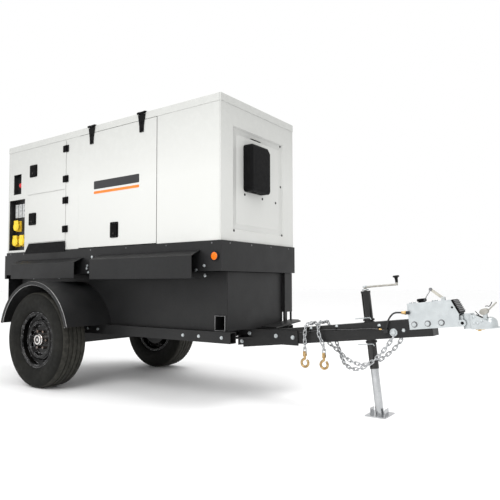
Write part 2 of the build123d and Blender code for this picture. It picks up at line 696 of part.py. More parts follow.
# ---------------------------------------------------------------- hitch
def actuator_housing():
    """Surge brake housing: an inverted channel over the tongue with a slanted nose."""
    rear, front, low, top = ACTUATOR_REAR, ACTUATOR_FRONT, ACTUATOR_LOW, ACTUATOR_TOP
    outline = [(rear, low), (front, low), (front + 12, 60), (front - 22, top), (rear, top)]
    shape = long_profile(outline, -ACTUATOR_HALF, ACTUATOR_HALF)
    shape -= block(rear - 1, front + 20, -ACTUATOR_HALF + 6, ACTUATOR_HALF - 6, low - 1, top - 6)
    for side in (-1, 1):
        y0, y1 = sorted((side * ACTUATOR_HALF, side * (ACTUATOR_HALF - 6)))
        ear = block(front - 10, EAR_U, y0, y1, low, low + 36)
        ear += rod((EAR_U, y0, low + 18), (EAR_U, y1, low + 18), 18)
        shape += ear - rod((EAR_U, y0 - 1, low + 18), (EAR_U, y1 + 1, low + 18), 7)
    shape -= Pos(870, 0, top) * Cylinder(22, 30)
    for y in (BREAKAWAY_Y - 9, BREAKAWAY_Y + 9):
        lug = block(BREAKAWAY_U - 10, BREAKAWAY_U + 10, y - 1.5, y + 1.5, top - 3, BREAKAWAY_W + 8)
        pin_hole = rod((BREAKAWAY_U, y - 3, BREAKAWAY_W), (BREAKAWAY_U, y + 3, BREAKAWAY_W), 3 + RUN_CLEARANCE)
        shape += lug - pin_hole
    for x in (830, 905, 980):
        shape += Pos(x, -ACTUATOR_HALF - 4, 20) * Rot(90, 0, 0) * extrude(RegularPolygon(13, 6), 6, both=True)
        shape += Pos(x, ACTUATOR_HALF + 4, 20) * Rot(90, 0, 0) * extrude(RegularPolygon(13, 6), 6, both=True)
    return on_tongue * shape


save("actuator_housing", actuator_housing())


def master_cylinder():
    """Master cylinder in the top of the housing, its filler cap above the plate."""
    shape = rod((830, 0, 100), (930, 0, 100), 26)
    shape += Pos(870, 0, 135) * Cylinder(20, 34)
    shape += Pos(870, 0, 152) * Cylinder(24, 12)
    return on_tongue * shape


save("master_cylinder", master_cylinder())


def coupler():
    """Sliding ball coupler: square slide, round sleeve, tapered cheeks and a domed ball socket."""
    slide = block(965, 1100, -38, 38, -2, 50)
    sleeve = Pos(1111, 0, 17) * extrude(RectangleRounded(52, 92, 24), 40, both=True)
    cheeks = long_profile([
        (1125, COUPLER_FOOT), (BALL_U, COUPLER_FOOT), (BALL_U, 4), (1156, 45), (1125, 51),
    ], -41, 41)
    taper = Pos(0, 0, -60) * extrude(make_face(Polyline([
        (1100, -41), (1150, -41), (BALL_U, -33), (BALL_U, 33), (1150, 41), (1100, 41),
    ], close=True)), 160)
    shell_r = BALL_R + 3.5
    dome = Pos(BALL_U, 0, BALL_W) * Sphere(shell_r)
    skirt = Pos(BALL_U, 0, (COUPLER_FOOT + BALL_W) / 2) * Cylinder(shell_r, BALL_W - COUPLER_FOOT)
    above = block(1100, 1300, -60, 60, COUPLER_FOOT, 60)
    foot = Pos(BALL_U, 0, COUPLER_FOOT + 2) * Cylinder(COUPLER_FOOT_HALF, 4)
    foot += block(1150, BALL_U, -COUPLER_FOOT_HALF, COUPLER_FOOT_HALF, COUPLER_FOOT, COUPLER_FOOT + 4)
    shape = slide + sleeve + (cheeks & taper) + (dome & above) + skirt + foot
    for side in (-1, 1):
        lug = block(LATCH_U - 10, LATCH_U + 10, 8, 12, 10, LATCH_W + 9)
        lug -= rod((LATCH_U, 7, LATCH_W), (LATCH_U, 13, LATCH_W), 4 + RUN_CLEARANCE)
        shape += lug if side > 0 else other_side(lug)
    shape -= Pos(BALL_U, 0, BALL_W) * Sphere(BALL_R)
    shape -= Pos(BALL_U, 0, BALL_W - 30) * Cylinder(BALL_R, 60)
    shape -= block(1136, 1182, -24, 24, COUPLER_FOOT - 1, 24)
    return on_tongue * shape


save("coupler", coupler())


def coupler_latch():
    """Latch lever: pear-shaped cam over the coupler and a handle that points up and forward."""
    pivot = Pos(LATCH_U, 0, LATCH_W)
    cam = pivot * Rot(90, 0, 0) * (Cylinder(14, 14) + Cylinder(4, 26))
    arm = pivot * Rot(0, -40, 0) * (Pos(39, 0, -8) * Box(78, 12, 7))
    return on_tongue * (cam + arm)


save("coupler_latch", coupler_latch())


def breakaway_lever():
    """Emergency brake lever on the housing's top, leaning back from its pivot."""
    pivot = Pos(BREAKAWAY_U, BREAKAWAY_Y, BREAKAWAY_W)
    boss = pivot * Rot(90, 0, 0) * (Cylinder(9, 12) + Cylinder(3, 22))
    bar = pivot * Rot(0, 42, 0) * (Pos(-45, 0, 0) * Box(90, 6, 15))
    return on_tongue * (boss + bar)


save("breakaway_lever", breakaway_lever())


# ---------------------------------------------------------------- jack
def jack_tube():
    """Outer tube of the jack with its top cap."""
    shape = Pos(JACK_U, 0, (JACK_BOTTOM + JACK_TOP) / 2) * Cylinder(JACK_TUBE_R, JACK_TOP - JACK_BOTTOM)
    shape -= Pos(JACK_U, 0, (JACK_BOTTOM + JACK_TOP) / 2 - 6) * Cylinder(24.8, JACK_TOP - JACK_BOTTOM)
    shape += Pos(JACK_U, 0, JACK_TOP - 4) * Cylinder(JACK_TUBE_R + 2, 12)
    shape -= Pos(JACK_U, 0, JACK_TOP) * Cylinder(9.2, 60)
    return on_tongue * shape


def jack_leg():
    """Inner tube of the jack with its flat foot on the ground."""
    tube = Pos(JACK_U, 0, -245) * (Cylinder(24.2, 530) - Cylinder(20.5, 532))
    leg = (on_tongue * tube) & block(1000, 1600, -100, 100, 5, 900)
    foot_x = 1323
    foot = block(foot_x - 62, foot_x + 62, -80, 80, 0, 6)
    foot += block(foot_x - 52, foot_x - 47, -28, 28, 5, 40)
    foot += block(foot_x + 38, foot_x + 43, -28, 28, 5, 40)
    return leg + foot


def jack_crank():
    """Lifting screw with the crank arm on top and its knob."""
    shape = Pos(JACK_U, 0, 54) * Cylinder(9, 428)
    shape += rod((JACK_U - 6, 0, 264), (JACK_U + CRANK_LENGTH, 0, 258), 6)
    shape += rod((JACK_U + CRANK_LENGTH, 0, 252), (JACK_U + CRANK_LENGTH, 0, 288), 6)
    knob = turned([(0, 0), (8, 0), (9, 24), (12, 31), (19, 34), (19, 40), (16, 43), (0, 44)])
    shape += Pos(JACK_U + CRANK_LENGTH, 0, 268) * knob
    return on_tongue * shape


save("jack_tube", jack_tube())
save("jack_leg", jack_leg())
save("jack_crank", jack_crank())


# ---------------------------------------------------------------- chains
def chain_link():
    """One welded link: two straight sides and two round bows, long way along X."""
    straight = CHAIN_HALF_LENGTH - CHAIN_BOW_R
    path = Wire([
        Line((-straight, CHAIN_BOW_R), (straight, CHAIN_BOW_R)),
        CenterArc((straight, 0), CHAIN_BOW_R, 90, -180),
        Line((straight, -CHAIN_BOW_R), (-straight, -CHAIN_BOW_R)),
        CenterArc((-straight, 0), CHAIN_BOW_R, -90, -180),
    ])
    start = Plane(origin=(-straight, CHAIN_BOW_R, 0), z_dir=(1, 0, 0))
    return sweep(start * Circle(CHAIN_WIRE_R), path=path)


def chain(points):
    """Links threaded along a curve, each a quarter turn from the one before; last link faces Y."""
    path = Spline([Vector(*p) for p in points])
    count = int(path.length / CHAIN_PITCH)
    pitch = path.length / count
    link = chain_link()
    links = []
    for index in range(count + 1):
        distance = pitch * index
        centre = path.position_at(distance, position_mode=PositionMode.LENGTH)
        along = path.tangent_at(distance, position_mode=PositionMode.LENGTH)
        side = Vector(0, 1, 0).cross(along)
        normal = along.cross(side).normalized()
        plane = Plane(origin=centre, x_dir=along, z_dir=normal)
        twist = 0 if (count - index) % 2 == 0 else 90
        links.append(plane.location * Rot(twist, 0, 0) * link)
    return links


CHAIN_FAR_SIDE = [
    (1440, 76, 462), (1398, 78, 398), (1335, 76, 340), (1271, 74, 298), (1196, 72, 276),
    (1112, 74, 288), (1036, 80, 332), (964, 86, 382), (906, 84, 430), (878, 76, 478),
    (870, 50, 522), (868, 0, 523), (866, -50, 521), (862, -77, 482), (860, -78, 420),
    (860, -78, 386), (860, -78, 355.5),
]
CHAIN_NEAR_SIDE = [
    (1432, -76, 462), (1396, -78, 410), (1345, -78, 352), (1286, -78, 304), (1206, -72, 268),
    (1128, -46, 284), (1070, 10, 330), (1026, 58, 380), (992, 76, 436), (966, 74, 494),
    (958, 48, 533), (954, 0, 533), (952, -48, 532), (956, -77, 494),
    (972, -79, 436), (994, -78, 380), (996, -78, 355.5),
]
save("safety_chains", group(*chain(CHAIN_FAR_SIDE), *chain(CHAIN_NEAR_SIDE)))


def chain_hook(x):
    """Clevis grab hook: an open ring below a shank with two ears and a pin."""
    middle = Plane(origin=(x, HOOK_Y, HOOK_Z), x_dir=(1, 0, 0), z_dir=(0, -1, 0))
    bend = middle * CenterArc((0, 0), HOOK_R, HOOK_START, HOOK_SWEEP)
    section = Plane(origin=bend @ 0, z_dir=bend % 0) * Circle(HOOK_BAR_R)
    hook = sweep(section, path=bend)
    hook += Pos(*(bend @ 1)) * Sphere(HOOK_BAR_R)
    hook += rod((x - 2, HOOK_Y, HOOK_Z + HOOK_R - 2), (x, HOOK_Y, 327), HOOK_BAR_R)
    ears = block(x - 9, x + 9, HOOK_Y - 10.5, HOOK_Y + 10.5, 320, 350)
    ears -= block(x - 10, x + 10, HOOK_Y - 5, HOOK_Y + 5, 327, 351)
    pin = rod((x, HOOK_Y - 12, HOOK_PIN_Z), (x, HOOK_Y + 12, HOOK_PIN_Z), 3.2)
    return hook + ears + pin


save("chain_hooks", group(*[chain_hook(x) for x in HOOKS_X]))


# ---------------------------------------------------------------- brake hose and wiring
def tube_along(points, radius):
    """A tube on straight runs joined by arcs as large as the runs allow."""
    route = [Vector(*p) for p in points]
    radii = []
    for before, corner, after in zip(route, route[1:], route[2:]):
        run = min((corner - before).length, (after - corner).length)
        turn = radians((corner - before).get_angle(after - corner))
        radii.append(0.45 * run / (sin(turn / 2) / cos(turn / 2)))
    path = FilletPolyline(route, radius=radii)
    start = Plane(origin=route[0], z_dir=route[1] - route[0])
    tube = sweep(start * Circle(radius), path=path)
    print("tube radii", [round(r) for r in radii])
    print("volume ratio", round(tube.volume / (pi * radius ** 2 * path.length), 4))
    return tube


HOSE_ROUTE = [(1486, -67, 613), (1440, -67, 612), (1408, -67, 574), (1393, -67, 513)]
HARNESS_ROUTE = [
    (812, -57, 466), (890, -57, 476), (980, -57, 492), (1070, -57, 497), (1165, -57, 500),
    (1255, -57, 511), (1325, -57, 514), (1375, -57, 507),
]
hose = tube_along(HOSE_ROUTE, 5)
fittings = rod((1486, -67, 613), (1512, -67, 613), 8) + block(1512, 1530, -75, -ACTUATOR_HALF, 604, 622)
lower_fitting = block(1380.5, 1404, -74, -TONGUE_HALF, 492, 513)
save("brake_hose", group(hose, fittings, lower_fitting))
save("wiring_harness", tube_along(HARNESS_ROUTE, 3.5))


# ---------------------------------------------------------------- bolts
def bolt(point, direction, radius=11, height=9):
    """Hexagon head bolt with its washer, seen outside the plate it clamps."""
    return Plane(origin=point, z_dir=direction) * hexagon(radius, height)


bolts = []
for side in (-1, 1):
    face = side * (TONGUE_HALF + 9)
    for x, z in ((352, 382), (416, 440), (631, 433), (760, 430)):
        bolts.append(bolt((x, face, z), (0, side, 0)))
    for x in (-900, -780, 100, 240, 430):
        bolts.append(bolt((x, side * RAIL_OUTER, 436), (0, side, 0), 9, 7))
for x, z in ((-836, 900), (-824, 850), (338, 876), (270, 850)):
    bolts.append(bolt((x, -BAND_HALF, z + 20), (0, -1, 0), 8, 6))
    bolts.append(bolt((x, BAND_HALF, z + 20), (0, 1, 0), 8, 6))
save("frame_bolts", group(*bolts))
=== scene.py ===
import bpy
import json
from math import atan2, cos, pi, radians, sin
from mathutils import Matrix, Vector


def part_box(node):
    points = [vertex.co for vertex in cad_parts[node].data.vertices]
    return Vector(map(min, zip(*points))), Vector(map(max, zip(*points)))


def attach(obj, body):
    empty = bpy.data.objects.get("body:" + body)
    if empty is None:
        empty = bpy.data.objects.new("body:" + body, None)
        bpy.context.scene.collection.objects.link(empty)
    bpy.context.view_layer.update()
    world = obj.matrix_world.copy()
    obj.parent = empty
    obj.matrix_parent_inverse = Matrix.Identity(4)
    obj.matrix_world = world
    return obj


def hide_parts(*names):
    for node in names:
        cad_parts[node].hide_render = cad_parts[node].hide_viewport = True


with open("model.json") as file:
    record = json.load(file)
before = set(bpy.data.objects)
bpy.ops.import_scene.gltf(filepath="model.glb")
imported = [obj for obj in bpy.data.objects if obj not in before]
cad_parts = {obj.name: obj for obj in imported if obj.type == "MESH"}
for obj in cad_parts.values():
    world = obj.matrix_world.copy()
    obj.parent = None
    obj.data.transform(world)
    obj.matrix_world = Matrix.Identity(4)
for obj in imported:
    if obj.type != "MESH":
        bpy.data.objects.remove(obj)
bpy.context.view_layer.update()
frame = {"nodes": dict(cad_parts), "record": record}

# Everything is in metres, in the frame's own axes: +X to the hitch, +Y the trailer's left, +Z up.

# -------- places, from the frame
tyre_low, tyre_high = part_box("tyre_right")
WHEEL = Vector([(low + high) / 2 for low, high in zip(tyre_low, tyre_high)])
TYRE_R = (tyre_high.z - tyre_low.z) / 2
joints = {joint["name"]: joint for joint in frame["record"]["behaviour"]["joints"]}
DOOR_FACE = 0.448
SKID_FACE = 0.45
OUTLET_FACE = -0.42
GAUGE_FACE = -0.382
CONTROLLER_FACE = -0.384
HOUSING_FACE = -0.058
TONGUE_FACE = -0.0512
RECESS_FACE = 0.458
RECESS_Y = -0.0065
RECESS_Z = 1.4725
HINGE_HEIGHTS = {"control_upper": (1.874, 1.628), "control_lower": (1.454, 1.222)}
TONGUE_ANCHOR = Vector((0.734, 0, 0.4355))
TONGUE_RISE = 6.4


def moved(x, y, z):
    return Matrix.Translation((x, y, z))


def rotated(degrees, axis):
    return Matrix.Rotation(radians(degrees), 4, axis)


on_tongue = Matrix.Translation(TONGUE_ANCHOR) @ rotated(-TONGUE_RISE, "Y")
facing_right = rotated(90, "X")
facing_left = rotated(-90, "X") @ rotated(180, "Z")
facing_front = rotated(90, "Z") @ rotated(90, "X")
facing_rear = rotated(-90, "Z") @ rotated(90, "X")
SIDES = (("right", -1, facing_right), ("left", 1, facing_left))


def tongue_at(u, y, w):
    """A place on the tongue: u along it, y to the left and w up."""
    return on_tongue @ moved(u, y, w)


def wheel_place(side):
    """The middle of a wheel, looking out along its axle."""
    return Matrix.Translation((WHEEL.x, side * abs(WHEEL.y), WHEEL.z)) @ rotated(-90 * side, "X")


# -------- materials
class Surface:
    """A Principled material whose detail is made from noise in the frame's own metres."""

    def __init__(self, name, colour, roughness, metallic=0.0, coat=0.0, gloss=0.5):
        self.material = bpy.data.materials.new(name)
        self.material.use_nodes = True
        self.tree = self.material.node_tree
        self.shader = self.tree.nodes["Principled BSDF"]
        self.place = self.node("ShaderNodeTexCoord").outputs["Object"]
        axes = self.node("ShaderNodeSeparateXYZ", {"Vector": self.place})
        self.x, self.y, self.z = axes.outputs
        self.colour = self.node("ShaderNodeRGB").outputs[0]
        self.colour.default_value = (*colour, 1)
        self.rough = roughness
        self.normal = None
        self.feed(self.shader.inputs["Metallic"], metallic)
        self.feed(self.shader.inputs["Coat Weight"], coat)
        self.feed(self.shader.inputs["Specular IOR Level"], gloss)
        self.feed(self.shader.inputs["Coat Roughness"], 0.12)

    def feed(self, socket, value):
        if isinstance(value, bpy.types.NodeSocket):
            self.tree.links.new(value, socket)
        else:
            socket.default_value = value

    def node(self, kind, values=None, **settings):
        node = self.tree.nodes.new(kind)
        for key, value in settings.items():
            setattr(node, key, value)
        for key, value in (values or {}).items():
            self.feed(node.inputs[key], value)
        return node

    def math(self, operation, a, b=0.0):
        return self.node("ShaderNodeMath", {0: a, 1: b}, operation=operation).outputs[0]

    def noise(self, scale, detail=3.0, stretch=(1, 1, 1)):
        place = self.node("ShaderNodeMapping", {"Vector": self.place, "Scale": stretch}).outputs[0]
        values = {"Vector": place, "Scale": scale, "Detail": detail}
        return self.node("ShaderNodeTexNoise", values).outputs[0]

    def spread(self, value, low, high, to_low=0.0, to_high=1.0):
        """value's stretch from low to high, spread over to_low to to_high."""
        values = {"Value": value, "From Min": low, "From Max": high, "To Min": to_low, "To Max": to_high}
        return self.node("ShaderNodeMapRange", values).outputs["Result"]

    def between(self, value, low, high):
        """1 where value lies between low and high, and 0 elsewhere."""
        above = self.math("GREATER_THAN", value, low)
        return self.math("MULTIPLY", above, self.math("LESS_THAN", value, high))

    def blend(self, factor, a, b):
        """Colour a where factor is 0 and b where it is 1."""
        mix = self.node("ShaderNodeMix", data_type="RGBA")
        self.feed(mix.inputs[0], factor)
        for socket, colour in ((mix.inputs[6], a), (mix.inputs[7], b)):
            self.feed(socket, colour if isinstance(colour, bpy.types.NodeSocket) else (*colour, 1))
        return mix.outputs[2]

    def tint(self, factor, colour):
        self.colour = self.blend(factor, self.colour, colour)
        return self

    def cloud(self, scale, colour, low=0.35, high=0.7, amount=1.0, detail=3.0, stretch=(1, 1, 1)):
        """Patches of another colour."""
        return self.tint(self.spread(self.noise(scale, detail, stretch), low, high, 0, amount), colour)

    def uneven(self, scale, low, high, stretch=(1, 1, 1)):
        """Roughness that wanders between two values."""
        self.rough = self.spread(self.noise(scale, 4, stretch), 0.3, 0.7, low, high)
        return self

    def soft_edges(self, radius):
        self.normal = self.node("ShaderNodeBevel", {"Radius": radius}, samples=3).outputs[0]
        return self

    def paint_wear_and_highlight(self, radius, colour, amount):
        """A line of another colour along the edges: worn paint, and a painted highlight on the rim and on
        the white coat.
        """
        rounded = self.node("ShaderNodeBevel", {"Radius": radius}, samples=3).outputs[0]
        flat = self.node("ShaderNodeNewGeometry").outputs["Normal"]
        dot = self.node("ShaderNodeVectorMath", {0: rounded, 1: flat}, operation="DOT_PRODUCT")
        edge = self.spread(dot.outputs["Value"], 0.98, 0.8)
        patchy = self.spread(self.noise(45, 4), 0.42, 0.62, 0, amount)
        return self.tint(self.math("MULTIPLY", edge, patchy), colour)

    def bump(self, height, strength, distance=0.001):
        values = {"Height": height, "Strength": strength, "Distance": distance}
        if self.normal:
            values["Normal"] = self.normal
        self.normal = self.node("ShaderNodeBump", values).outputs[0]
        return self

    def dust(self, top, colour, amount):
        """Dust that thins out from the ground up to height top."""
        height = self.spread(self.z, 0, top, amount, 0)
        return self.tint(self.math("MULTIPLY", height, self.spread(self.noise(7, 5), 0.35, 0.7)), colour)

    def done(self):
        self.feed(self.shader.inputs["Base Color"], self.colour)
        self.feed(self.shader.inputs["Roughness"], self.rough)
        if self.normal:
            self.feed(self.shader.inputs["Normal"], self.normal)
        return self.material


def shade(colour, factor):
    return tuple(part * factor for part in colour)


def wheel_reach(s):
    """Distance from the wheels' axle."""
    across = s.math("POWER", s.math("SUBTRACT", s.x, WHEEL.x), 2.0)
    upward = s.math("POWER", s.math("SUBTRACT", s.z, WHEEL.z), 2.0)
    return s.math("SQRT", s.math("ADD", across, upward))


def pressed_border(s):
    """Broad pressed slope inside the rim of the front wall's recess."""
    across = s.math("SUBTRACT", s.math("ABSOLUTE", s.math("SUBTRACT", s.y, RECESS_Y)), 0.262)
    upward = s.math("SUBTRACT", s.math("ABSOLUTE", s.math("SUBTRACT", s.z, RECESS_Z)), 0.297)
    rise = s.math("MAXIMUM", s.math("MAXIMUM", across, upward), 0.0)
    floor = s.math("LESS_THAN", s.math("ABSOLUTE", s.math("SUBTRACT", s.x, RECESS_FACE)), 0.0012)
    s.bump(s.math("MULTIPLY", rise, floor), 1.0, 0.45)


def white_coat(name):
    """White powder coat, with painted shade towards the roof and the tail."""
    s = Surface(name, (0.603, 0.608, 0.588), 0.42, gloss=0.4)
    s.cloud(1.1, (0.588, 0.593, 0.572), 0.35, 0.75, 0.8)
    # painted shade: darker towards the roof, where less light falls
    s.tint(s.spread(s.z, 1.5, 1.95, 0, 0.8), (0.45, 0.455, 0.438))
    # painted shade: darker towards the tail, further from the key light
    s.tint(s.spread(s.x, -1.0, -1.9, 0, 0.5), (0.46, 0.465, 0.448))
    s.cloud(26, (0.61, 0.615, 0.596), 0.45, 0.7, 0.15)
    return s


def coat_grain(s, edge, wear_and_highlight_amount):
    """Edges, roughness and fine waves of the white powder coat."""
    s.uneven(5, 0.34, 0.46)
    s.soft_edges(0.002)
    s.paint_wear_and_highlight(0.002, edge, wear_and_highlight_amount)
    s.bump(s.noise(420, 2), 0.06, 0.0004)
    s.bump(s.noise(3.2, 1), 0.1, 0.002)


def white_paint():
    s = white_coat("white_powder_coat")
    foot = s.spread(s.z, 1.056, 1.16, 0.35, 0)
    s.tint(s.math("MULTIPLY", foot, s.spread(s.noise(9, 5), 0.4, 0.7)), (0.52, 0.515, 0.485))
    # painted highlight: the edges are painted lighter than the coat
    coat_grain(s, (0.8, 0.8, 0.78), 0.5)
    pressed_border(s)
    return s.done()


def door_paint():
    """White paint, and black on the hinge straps that stand proud of the door."""
    s = white_coat("door_powder_coat")
    proud = s.math("GREATER_THAN", s.math("ABSOLUTE", s.y), DOOR_FACE + 0.0003)
    s.tint(proud, (0.003, 0.003, 0.0032))
    s.feed(s.shader.inputs["Specular IOR Level"], s.spread(proud, 0, 1, 0.4, 0.08))
    coat_grain(s, (0.5, 0.5, 0.49), 0.25)
    return s.done()


def black_paint(name="black_powder_coat", colour=(0.0085, 0.0086, 0.009), low=0.4, high=0.54,
                gloss=0.3, wear_and_highlight_amount=0.7, edge=(0.09, 0.09, 0.092), edge_size=0.0022):
    s = Surface(name, colour, 0.45, gloss=gloss)
    s.cloud(2.2, shade(colour, 1.5), 0.35, 0.75, 0.7)
    s.cloud(70, shade(colour, 0.7), 0.45, 0.65, 0.5)
    s.dust(0.75, (0.05, 0.046, 0.04), 0.2)
    s.uneven(6, low, high)
    s.soft_edges(0.0018)
    s.paint_wear_and_highlight(edge_size, edge, wear_and_highlight_amount)
    s.bump(s.noise(380, 3), 0.14, 0.0004)
    return s.done()


def zinc(name="zinc_plate", colour=(0.49, 0.52, 0.53), light=(0.55, 0.58, 0.59), low=0.34, high=0.5):
    s = Surface(name, colour, 0.4, metallic=0.8)
    s.cloud(30, light, 0.38, 0.66, 0.8, 5)
    s.cloud(190, shade(colour, 0.82), 0.5, 0.68, 0.4, 2)
    s.uneven(60, low, high)
    s.soft_edges(0.0012)
    s.bump(s.noise(900, 3, (1, 0.12, 1)), 0.08, 0.0001)
    s.bump(s.noise(55, 3), 0.05, 0.0003)
    return s.done()


def gold_zinc(name="yellow_chromate", colour=(0.62, 0.4, 0.14), light=(0.74, 0.56, 0.26)):
    s = Surface(name, colour, 0.35, metallic=0.9)
    s.cloud(85, light, 0.4, 0.62, 1.0, 3)
    s.cloud(60, shade(colour, 0.75), 0.5, 0.68, 0.8, 2)
    s.uneven(120, 0.25, 0.42)
    s.soft_edges(0.001)
    s.bump(s.noise(500, 3), 0.12, 0.0003)
    return s.done()


def hub_metal():
    """Bright cap and nuts, with the hub face and the drum left dark."""
    s = Surface("hub_metal", (0.7, 0.7, 0.69), 0.2, metallic=1.0)
    reach = wheel_reach(s)
    inboard = s.math("LESS_THAN", s.math("ABSOLUTE", s.y), 0.614 + 0.0285)
    off_cap = s.math("GREATER_THAN", reach, 0.0425)
    s.tint(s.math("MULTIPLY", off_cap, 0.92), (0.07, 0.062, 0.058))
    s.cloud(160, (0.55, 0.3, 0.2), 0.52, 0.6, 0.5)
    s.tint(s.math("MULTIPLY", inboard, off_cap), (0.03, 0.028, 0.026))
    s.uneven(90, 0.16, 0.34)
    s.soft_edges(0.001)
    s.bump(s.noise(600, 2), 0.08, 0.0002)
    return s.done()


def tyre_rubber():
    """Dark olive rubber: fine cuts round the shoulders, raised rings on the sidewalls, road dust."""
    s = Surface("tyre_rubber", (0.0075, 0.0075, 0.0066), 0.8, gloss=0.16)
    s.cloud(9, (0.0135, 0.0132, 0.011), 0.35, 0.7, 0.9, 5)
    s.cloud(240, (0.005, 0.005, 0.0045), 0.45, 0.65, 0.6, 2)
    reach = wheel_reach(s)
    dx = s.math("SUBTRACT", s.x, WHEEL.x)
    dz = s.math("SUBTRACT", s.z, WHEEL.z)
    turn = s.math("ARCTAN2", dz, dx)
    tread = s.math("GREATER_THAN", reach, TYRE_R - 0.012)
    s.tint(s.math("MULTIPLY", tread, s.spread(s.noise(30, 4), 0.4, 0.7, 0.35, 0.9)), (0.05, 0.048, 0.041))
    s.uneven(30, 0.66, 0.86)
    cuts = s.math("GREATER_THAN", s.math("SINE", s.math("MULTIPLY", turn, 132.0)), 0.55)
    shoulder = s.math("GREATER_THAN", reach, TYRE_R - 0.032)
    s.bump(s.math("MULTIPLY", cuts, shoulder), -0.9, 0.002)
    rings = s.math("SINE", s.math("MULTIPLY", reach, 620.0))
    s.bump(s.spread(rings, 0.6, 1.0), 0.25, 0.0008)
    s.bump(s.noise(700, 3), 0.25, 0.0004)
    return s.done()


def moulded(name, colour, low=0.42, high=0.58, grain=0.3, gloss=0.38):
    s = Surface(name, colour, 0.5, gloss=gloss)
    s.cloud(14, shade(colour, 1.25), 0.4, 0.7, 0.7)
    s.cloud(220, shade(colour, 0.8), 0.45, 0.6, 0.5)
    s.uneven(40, low, high)
    s.soft_edges(0.0012)
    cells = s.node("ShaderNodeTexVoronoi", {"Vector": s.place, "Scale": 900.0}).outputs["Distance"]
    s.bump(cells, grain, 0.0003)
    return s.done()


def lamp_plastic(name, colour, glow):
    s = Surface(name, colour, 0.12, coat=0.08, gloss=0.2)
    s.cloud(180, shade(colour, 0.65), 0.45, 0.65, 0.6)
    s.uneven(80, 0.08, 0.2)
    s.feed(s.shader.inputs["Emission Color"], (*colour, 1))
    s.feed(s.shader.inputs["Emission Strength"], glow)
    s.bump(s.noise(300, 2), 0.1, 0.0004)
    return s.done()


def casting(name, colour, metallic=0.1):
    s = Surface(name, colour, 0.55, metallic=metallic)
    s.cloud(11, shade(colour, 0.6), 0.4, 0.7, 0.8, 5)
    s.cloud(90, shade(colour, 1.35), 0.5, 0.7, 0.5)
    s.uneven(25, 0.45, 0.7)
    s.soft_edges(0.003)
    s.bump(s.noise(210, 4), 0.35, 0.001)
    return s.done()


def radiator_core():
    s = Surface("radiator_fins", (0.1, 0.105, 0.11), 0.5, metallic=0.5)
    s.cloud(20, (0.06, 0.06, 0.062), 0.4, 0.7, 0.7)
    s.uneven(40, 0.4, 0.6)
    fins = s.math("SINE", s.math("MULTIPLY", s.z, 1500.0))
    s.bump(fins, 0.6, 0.001)
    return s.done()


def outlet_plastic():
    """Black trays, yellow receptacle bases low down and light grey breaker strips above them."""
    s = Surface("outlet_plastic", (0.012, 0.012, 0.013), 0.45)
    depth = s.between(s.y, -0.4135, -0.3845)
    trays = s.math("MULTIPLY", depth, s.between(s.x, -1.944, -1.7045))
    s.tint(s.math("MULTIPLY", trays, s.between(s.z, 1.0785, 1.345)), (0.8, 0.52, 0.03))
    s.tint(s.math("MULTIPLY", trays, s.between(s.z, 1.368, 1.494)), (0.52, 0.53, 0.53))
    s.cloud(60, (0.02, 0.02, 0.02), 0.45, 0.7, 0.25)
    s.uneven(50, 0.35, 0.5)
    s.soft_edges(0.001)
    s.bump(s.noise(600, 2), 0.15, 0.0003)
    return s.done()


def crank_metal():
    """Zinc-plated crank with a black knob."""
    s = Surface("crank_metal", (0.3, 0.29, 0.26), 0.3, metallic=0.85)
    s.cloud(70, (0.42, 0.41, 0.38), 0.4, 0.65, 0.8)
    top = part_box("jack_crank")[1].z
    s.tint(s.math("GREATER_THAN", s.z, top - 0.042), (0.012, 0.012, 0.012))
    s.uneven(60, 0.25, 0.42)
    s.soft_edges(0.001)
    s.bump(s.noise(700, 3, (0.15, 1, 1)), 0.12, 0.0003)
    return s.done()


MATERIALS = {
    "white_paint": white_paint(),
    "black_paint": black_paint(),
    "black_hardware": black_paint("black_hardware_coat", (0.0022, 0.0022, 0.0024), 0.45, 0.58, 0.06, 0.12),
    # the rim's edges get a wide light grey line: a painted highlight
    "rim_paint": black_paint("rim_gloss_black", (0.0022, 0.0022, 0.0024), 0.1, 0.2, 0.14, 1.0,
                             (0.4, 0.4, 0.41), 0.007),
    "zinc": zinc(),
    "gold_zinc": gold_zinc(),
    "chrome": hub_metal(),
    "tyre": tyre_rubber(),
    "hose_rubber": moulded("hose_rubber", (0.016, 0.016, 0.017), 0.5, 0.68, 0.15),
    "black_plastic": moulded("moulded_black", (0.004, 0.004, 0.0043), gloss=0.08),
    "fan_plastic": moulded("fan_plastic", (0.03, 0.03, 0.032)),
    "red_plastic": moulded("red_plastic", (0.55, 0.012, 0.015), 0.25, 0.38, 0.06),
    "yellow_plastic": moulded("yellow_plastic", (0.86, 0.6, 0.035), 0.3, 0.44, 0.08),
    "lamp_lens": moulded("lamp_grommet", (0.012, 0.012, 0.012)),
    "control_face": casting("control_face_paint", (0.1, 0.105, 0.11), 0.3),
    "engine_iron": casting("engine_paint", (0.12, 0.135, 0.14)),
    "radiator_alloy": radiator_core(),
    "muffler_steel": casting("muffler_steel", (0.33, 0.29, 0.25), 0.8),
}
AMBER = lamp_plastic("amber_lens", (0.9, 0.17, 0.0), 0.06)
RED_LENS = lamp_plastic("red_lens", (0.6, 0.01, 0.01), 0.15)
ORANGE_DECAL = moulded("orange_film", (0.85, 0.19, 0.02), 0.3, 0.4, 0.02)
GREY_DECAL = moulded("dark_film", (0.022, 0.022, 0.024), 0.3, 0.4, 0.02)
LEVER_CREAM = zinc("lever_cream", (0.46, 0.44, 0.39), (0.58, 0.56, 0.5), 0.35, 0.5)
LATCH_CAST = zinc("latch_casting", (0.33, 0.32, 0.29), (0.47, 0.455, 0.42))
DIAL_WHITE = moulded("dial_white", (0.7, 0.7, 0.68), 0.3, 0.4, 0.02)
